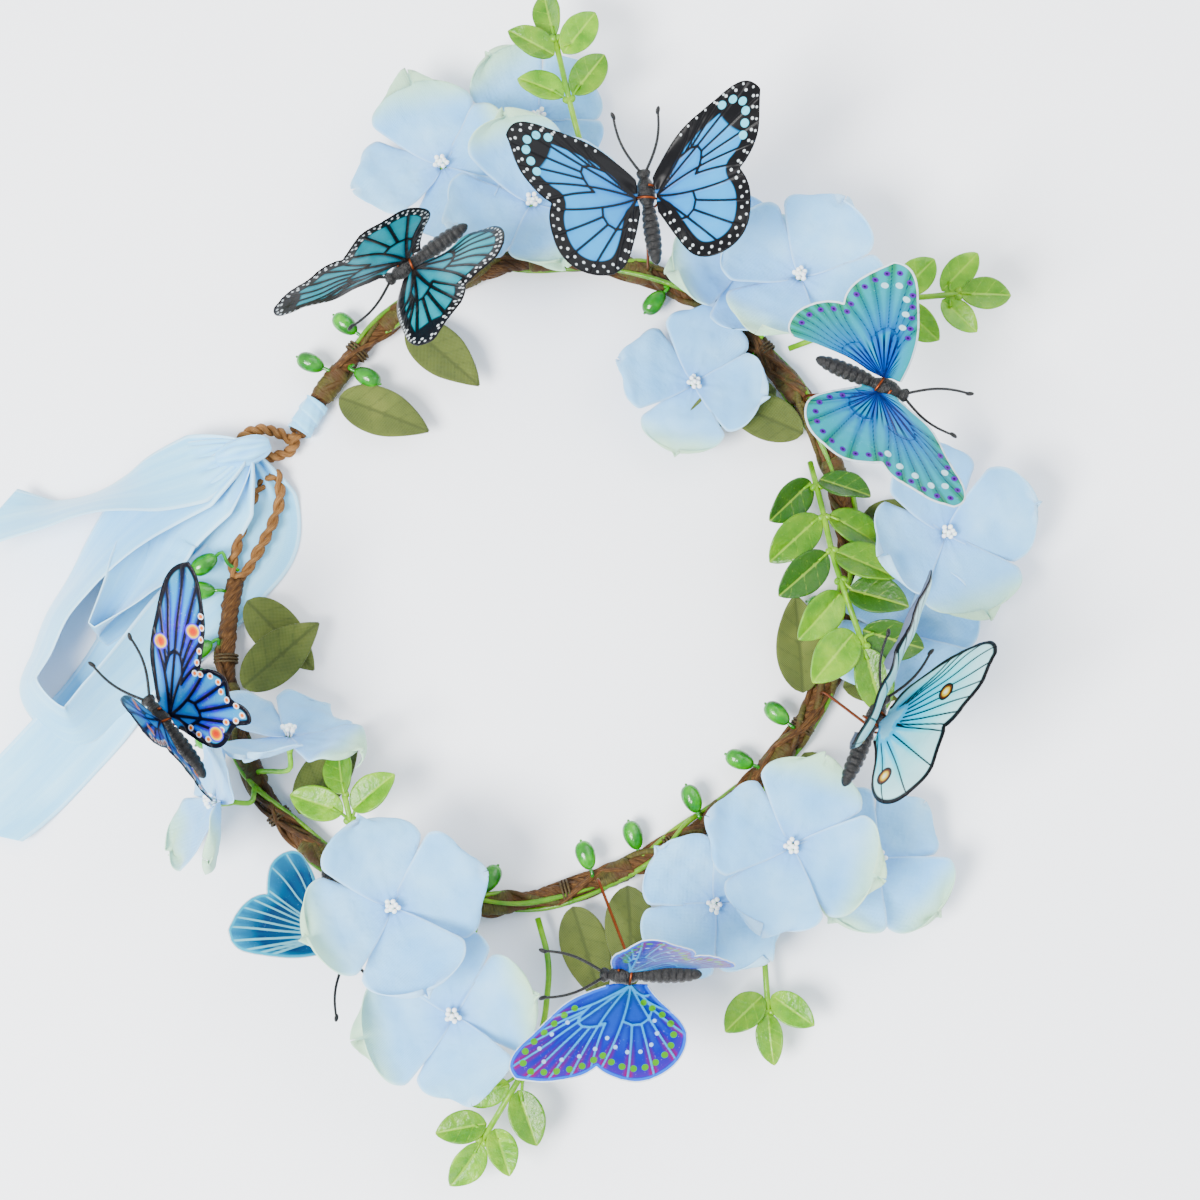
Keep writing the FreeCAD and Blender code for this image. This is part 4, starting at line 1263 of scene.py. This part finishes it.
def wing_fields(wing, points, spec):
    """Distances on the wing, in millimetres, that its printed pattern is drawn from."""
    outline = wing.rim[:wing.last]
    to_root, rim_to_root = points - wing.root, outline - wing.root
    angle, rim_angle = (np.arctan2(way[:, 1], way[:, 0]) for way in (to_root, rim_to_root))
    order = np.argsort(rim_angle)
    limit = np.interp(angle, rim_angle[order], np.linalg.norm(rim_to_root, axis=1)[order])
    if spec.get("fan"):
        ends = wing.targets(int(wing.apex * 0.6), wing.notch - 3, 9)
        ends += wing.targets(wing.notch + 3, wing.last - 5, 6)
        lines = [np.array((wing.root + VEIN_START * (end - wing.root), end)) for end in ends]
    else:
        lines = wing.vein_lines()
    fields = dict(
        rim=distance_to_points(points, outline), tip=np.linalg.norm(points - wing.rim[wing.apex], axis=1),
        reach=np.clip(np.linalg.norm(to_root, axis=1) / limit, 0, 1), fan=angle,
        vein=distance_to_lines(points, lines))
    for number, (depth, spacing, _, _, first, last) in enumerate(spec.get("dots", ())):
        fields["dots_%d" % number] = distance_to_points(points, wing.inset(spacing, depth, first, last))
    if "eyes" in spec:
        fields["eye"] = distance_to_points(points, np.array([wing.spot(*eye) for eye in spec["eyes"]]))
    return fields


# a wing that stands up bends away from the other one
UPRIGHT = 0.6
CAMBER = 1.1
CURL = 1.2
CURLED = {"butterfly_right_wing_left": 4.0, "butterfly_upper_left_wing_left": 2.0}
VEIN_RELIEF = 0.12


def make_wing(node, spec, materials, hinge, forward, side):
    wing = Wing(node, hinge, forward, side)
    points, faces = wing.grid()
    fields = wing_fields(wing, points, spec)
    reach = fields["reach"]
    camber = CAMBER * np.sin(np.pi * np.clip(reach, 0, 1)) + 0.35 * np.sin(points[:, 1] * 0.45) * reach
    camber += CURLED.get(node, CURL) * np.clip(reach - 0.6, 0, 1) ** 2 / 0.16
    camber += VEIN_RELIEF * np.exp(-(fields["vein"] / 0.5) ** 2)
    if wing.out[2] > UPRIGHT:
        camber = -camber
    place = hinge + MM * (points[:, :1] * wing.out + points[:, 1:] * forward + camber[:, None] * wing.up)
    if side < 0:
        faces = [tuple(face)[::-1] for face in faces]
    shape = Shape()
    shape.add(place, faces, points, **fields)
    shape.make(node + "_film", node, "wing_film", *materials, replaces=[node], thickness=WING_THICKNESS)


# ---------------------------------------------------------------- butterfly bodies

ABDOMEN_RINGS = 8
FEELER_LENGTH = 18.6 * MM
FEELER_BOW = 1.6 * MM
WIRE_RADIUS = 0.38 * MM
WIRE_TURN_RADIUS = 3.2
WIRE_TURNS = 1.4
# distance along the body and radius there, in millimetres
BODY = ((-20.4, 0.4), (-19.6, 1.2), (-17.5, 2.0), (-14, 2.5), (-9, 2.6), (-4.2, 2.2), (-2.2, 1.6),
        (-0.6, 2.3), (1.5, 2.8), (4, 2.6), (5.6, 1.8), (6.2, 1.4), (6.8, 1.9), (7.6, 2.05), (8.6, 1.5),
        (9.0, 0.5))


def make_insect(name, origin, x, y, z, material):
    """Moulded body with a ribbed abdomen, waist, round head, eyes and clubbed feelers."""
    shape = Shape()
    stations, radii = np.array(BODY).T
    along = np.linspace(stations[0], stations[-1], 150)
    radius = np.interp(along, stations, radii)
    ribbed = (along < -3) & (along > -19.8)
    ribs = np.abs(np.cos((along + 3) * np.pi * ABDOMEN_RINGS / 17)) ** 5
    radius = radius * np.where(ribbed, 1 - 0.13 * ribs, 1)
    radius = radius + np.where(np.abs(along - 1.5) < 4, 0.05 * rng.standard_normal(len(along)), 0)
    add_tube(shape, origin + np.outer(along * MM, y), radius * MM, 20)
    share = np.linspace(0, 1, 14)[:, None]
    for side in (-1, 1):
        eye = origin + MM * (side * 1.4 * x + 7.7 * y + 0.5 * z)
        add_bead(shape, eye, x, 1.5 * MM, 1.8 * MM)
        root = origin + MM * (side * 0.6 * x + 7.8 * y + 0.4 * z)
        direction = unit(side * 0.36 * x + y + 0.3 * z)
        line = root + direction * FEELER_LENGTH * share + side * x * FEELER_BOW * np.sin(np.pi * share)
        add_tube(shape, line, np.linspace(0.46, 0.38, 14) * MM, 8)
        add_bead(shape, line[-1], direction, 2.6 * MM, 1.3 * MM)
    shape.make(name + "_moulded_body", name, "butterfly_body", material, replaces=[name + "_body"])


def make_wire_turn(name, origin, x, y, z, material):
    """The wire's last turn, which ties the thorax down."""
    share = np.linspace(0, 1, 60)
    turn = 2 * np.pi * WIRE_TURNS * share - 1.2
    around = np.outer(np.cos(turn), x) + np.outer(np.sin(turn), z)
    path = origin + MM * (WIRE_TURN_RADIUS * around + np.outer(-2.2 + 5.4 * share, y))
    shape = Shape()
    add_tube(shape, path, WIRE_RADIUS, 8)
    shape.make(name + "_wire_turn", name, "copper_wire", material)


def make_butterflies(insect, copper):
    joints = {joint["name"]: joint for joint in frame["joints"]}
    for name, spec in WINGS.items():
        flap = joints[name + "_flap_left"]
        origin, forward = np.array(flap["pos_m"]), unit(flap["axis"])
        x = unit(np.cross(forward, (0, 0, 1)))
        axes = (x, forward, np.cross(x, forward))
        materials = [wing_material(name, spec, printed) for printed in (True, False)]
        make_insect(name, origin, *axes, insect)
        make_wire_turn(name, origin, *axes, copper)
        for side, word in ((1, "right"), (-1, "left")):
            make_wing("%s_wing_%s" % (name, word), spec, materials, origin, forward, side)
        dress(name + "_wire", copper)


# ---------------------------------------------------------------- floor and assembly

FLOOR_SIZE = 3.0


def make_floor():
    shader = Shader("studio_floor", Roughness=0.7)
    material = shader.finish(shader.mix(shader.noise(6, 2), (.93, .94, .96), (.97, .97, .98)))
    low = CAD_BOX[0][2]
    corners = [(x * FLOOR_SIZE, y * FLOOR_SIZE, low) for x, y in ((-1, -1), (1, -1), (1, 1), (-1, 1))]
    mesh = bpy.data.meshes.new("floor")
    mesh.from_pydata(corners, [], [(0, 1, 2, 3)])
    mesh.materials.append(material)
    floor = placed("floor", mesh)


def dress(node, material):
    """Give a kept CAD node its finish."""
    mesh = frame["nodes"][node].data
    mesh.materials.clear()
    mesh.materials.append(material)


def main():
    make_light()
    make_floor()
    rope = rope_material("paper_rope", (.13, .07, .02), (.29, .18, .07), (.52, .37, .19))
    pale_rope = rope_material("paper_rope_eyes", (.30, .18, .07), (.50, .34, .17), (.68, .50, .29))
    tape, sprig = tape_material(), sprig_material()
    small = {name: mottled_material(name, **look) for name, look in MOTTLED.items()}
    make_rope(rope)
    make_eyes(pale_rope)
    make_tape(tape)
    for winding, material in zip(WINDINGS, (rope, tape, sprig)):
        make_windings(*winding, material)
    dress("hoop_core_wire", metal_material("steel_core", (.45, .46, .48), 0.4))
    dress("binding_wires", small["binding_wire"])
    make_florets(petal_material(), small["stamen_tuft"], small["calyx_plastic"])
    make_sprigs(sprig)
    make_fabric_leaves(leaf_fabric_material())
    make_berries(small["berry_plastic"])
    make_ribbon(ribbon_material())
    make_butterflies(small["butterfly_body"], metal_material("copper_wire", (.50, .24, .12), 0.35))


main()
